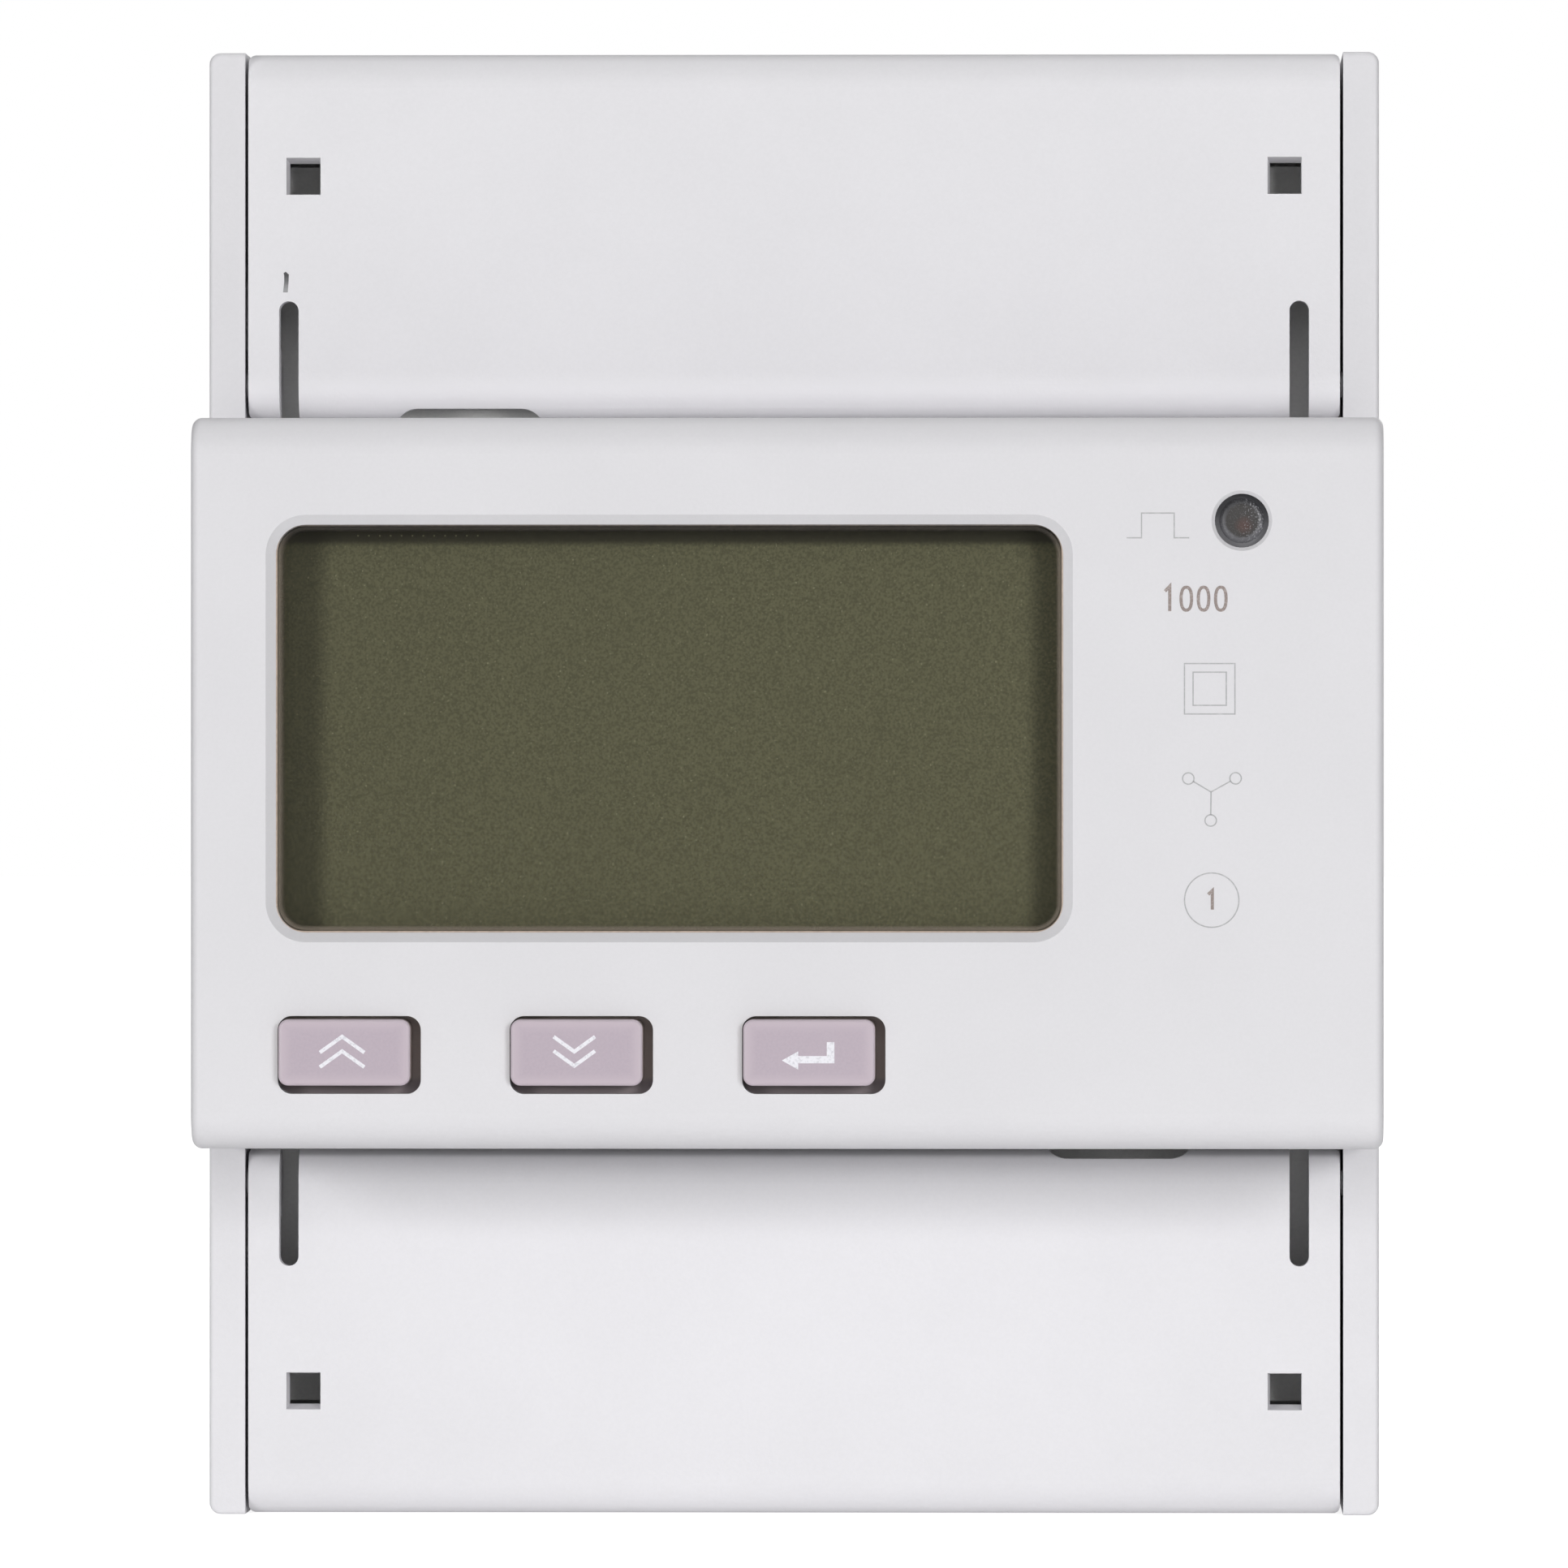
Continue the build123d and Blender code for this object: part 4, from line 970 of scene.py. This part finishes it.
def window_seal():
    """The seal in the gap round the window, dark in the frame's shade at the top."""
    look = Look("seal_rubber")
    centre, _, height = window_place()
    fine = look.noise(SEAL_GRAIN, detail=2.0)
    top = look.math("SUBTRACT", centre[1] + height / 2, look.axes()[2])
    tone = look.mix(look.between(top, *RIM_SHADE_FADE), linear(SEAL_TOP_SHADE), linear(SEAL))
    tone = look.mix(look.between(fine, *SEAL_RANGE, 0.0, SEAL_DIRT), tone, linear(LENS_RIM))
    look.bump(fine, SEAL_RELIEF)
    rubber = look.finish(tone, rough=look.spread(fine, 0.5, 0.7), specular=0.2)
    piece("window_seal", rubber, "housing", seal_ring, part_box("window_lens")[0].y)


def skirt_ring(mesh, x, z, front):
    """The ring between the lamp and the edge of its hole."""
    stroke(mesh, circle(x, z, (SKIRT_RADIUS + LAMP_HOLE) / 2), LAMP_HOLE - SKIRT_RADIUS + PROUD,
           front, front + SKIRT_DROP, closed=True)


def lamp_skirt():
    """The skirt round the pulse lamp, darker towards its top with painted shade."""
    look = Look("lamp_skirt")
    x, z = middle_of("pulse_led")
    cloud = look.noise(SKIRT_CLOUD, detail=2.0)
    high_up = look.math("MULTIPLY_ADD", cloud, SKIRT_WOBBLE,
                        look.math("SUBTRACT", look.axes()[2], z))
    # Painted shade towards the top, painted light low down
    tone = look.mix(look.between(high_up, *SKIRT_SHADING), linear(SKIRT_LIT_LOW), linear(SKIRT_SHADED_TOP))
    look.bump(cloud, SKIRT_RELIEF)
    grey = look.finish(tone, rough=look.spread(cloud, 0.4, 0.6), specular=0.3)
    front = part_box("pulse_led")[0].y + SKIRT_DROP
    piece("lamp_skirt", grey, "housing", skirt_ring, x, z, front)


def draft_walls(mesh, x, z, up, face, depth):
    """Walls round a square hole from just inside a face to a depth, leaning in with the depth."""
    half_x, half_z = HOLE_WIDTH / 2 + PROUD, HOLE_HEIGHT / 2 + PROUD
    outer = corners(x - half_x, x + half_x, z - up * half_z, z + up * half_z)
    inner = corners(x - half_x + DRAFT_LEFT, x + half_x - DRAFT_RIGHT,
                    z - up * (half_z - DRAFT_INNER), z + up * (half_z - DRAFT_OUTER))
    rings = [[mesh.verts.new((px, level, pz)) for px, pz in points]
             for points, level in ((outer, face + DRAFT_START), (inner, face + depth),
                                   (outer, face + depth))]
    for first, second in zip(rings, rings[1:] + rings[:1]):
        for i in range(len(outer)):
            j = (i + 1) % len(outer)
            mesh.faces.new((first[i], first[j], second[j], second[i]))


def window_drafts():
    """The sloped walls that the photograph shows inside the square holes of both covers."""
    for place, up, depth in (("top", 1, DRAFT_DEEP), ("bottom", -1, DRAFT_END)):
        cover = f"terminal_cover_{place}"
        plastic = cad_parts[cover].data.materials[0]
        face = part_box(cover)[0].y
        for side, across in (("left", -1), ("right", 1)):
            piece(f"hole_draft_{place}_{side}", plastic, f"cover_{place}", draft_walls,
                  across * HOLE_X, up * HOLE_Z, up, face, depth)


def cover_slit():
    """The short dark slit that the photograph shows in the upper cover."""
    look = Look("cover_slit")
    fine = look.noise(SLIT_GRAIN, detail=2.0)
    level = look.math("MULTIPLY_ADD", fine, SLIT_WOBBLE, look.axes()[2])
    # Painted shade inside the slit, deepest at its top
    tone = look.mix(look.between(level, *SLIT_FADE), linear(SLIT_LIGHT_SHADE), linear(SLIT_DEEP_SHADE))
    look.bump(fine, SLIT_RELIEF)
    dark = look.finish(tone, rough=look.spread(fine, 0.5, 0.65))
    piece("cover_slit", dark, "cover_top", flat_plate, SLIT_OUTLINE,
          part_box("terminal_cover_top")[0].y)


def set_camera():
    """The photograph's camera: a long lens, straight on."""
    data = bpy.data.cameras.new("camera")
    data.sensor_width = SENSOR
    data.lens = FOCAL_PIXELS / IMAGE_PIXELS * SENSOR
    camera = bpy.data.objects.new("camera", data)
    camera.location = CAMERA_PLACE
    camera.rotation_euler = (math.pi / 2 + CAMERA_PITCH, 0, CAMERA_YAW)
    bpy.context.scene.collection.objects.link(camera)
    bpy.context.scene.camera = camera


def soft_box(name, place, box, share):
    """An area lamp aimed at the meter that gives that share of a full light there."""
    data = bpy.data.lights.new(name, "AREA")
    data.shape = "RECTANGLE"
    data.size, data.size_y = box
    data.energy = share * math.pi ** 2 * place.length_squared
    lamp = bpy.data.objects.new(name, data)
    lamp.location = place
    lamp.rotation_euler = (-place).to_track_quat("-Z", "Y").to_euler()
    bpy.context.scene.collection.objects.link(lamp)


def set_light():
    """Soft boxes left, right, above, high in front and behind, and a faint even surround."""
    for name, (place, box, share) in SOFT_BOXES.items():
        soft_box(name, place, box, share)
    world = bpy.data.worlds.new("surround")
    bpy.context.scene.world = world
    world.use_nodes = True
    tree = world.node_tree
    ground = tree.nodes["Background"]
    ground.inputs["Color"].default_value = PURE_WHITE
    path = tree.nodes.new("ShaderNodeLightPath")
    level = tree.nodes.new("ShaderNodeMapRange")
    level.inputs["To Min"].default_value = SURROUND
    level.inputs["To Max"].default_value = 1.0
    tree.links.new(path.outputs["Is Camera Ray"], level.inputs["Value"])
    tree.links.new(level.outputs["Result"], ground.inputs["Strength"])


def set_floor():
    """A plain white floor under the meter, which keeps its shadow."""
    look = Look("floor_white")
    look.finish(FLOOR_TONE, rough=look.spread(look.noise(FLOOR_GRAIN), 0.88, 0.95))
    path = look.node("ShaderNodeLightPath")
    glow = look.node("ShaderNodeEmission")
    glow.inputs["Color"].default_value = PURE_WHITE
    squares = [look.math("MULTIPLY", value, value) for value in look.axes()[:2]]
    away = look.math("SQRT", look.math("ADD", *squares))
    seen = look.between(away, *WHITE_FADE, FLOOR_WHITE, 1.0)
    felt = look.between(away, *GLOW_FADE, FLOOR_GLOW, 0.0)
    extra = look.math("MULTIPLY", path.outputs["Is Camera Ray"], look.math("SUBTRACT", seen, felt))
    look.join(look.math("ADD", felt, extra), glow.inputs["Strength"])
    both = look.node("ShaderNodeAddShader")
    look.join(look.shader.outputs[0], both.inputs[0])
    look.join(glow.outputs[0], both.inputs[1])
    look.join(both.outputs[0], look.tree.nodes["Material Output"].inputs["Surface"])
    level = cad_box[0].z - FLOOR_GAP
    sheet = corners(-FLOOR_HALF, FLOOR_HALF, -FLOOR_HALF, FLOOR_HALF)
    data = bpy.data.meshes.new("floor")
    data.from_pydata([(x, y, level) for x, y in sheet], [], [(0, 1, 2, 3)])
    data.materials.append(look.material)
    floor = bpy.data.objects.new("floor", data)
    bpy.context.scene.collection.objects.link(floor)


dress_frame()
front_marks()
key_glyphs()
window_seal()
lamp_skirt()
window_drafts()
cover_slit()
set_camera()
set_light()
set_floor()
bpy.context.scene.view_settings.view_transform = "Standard"
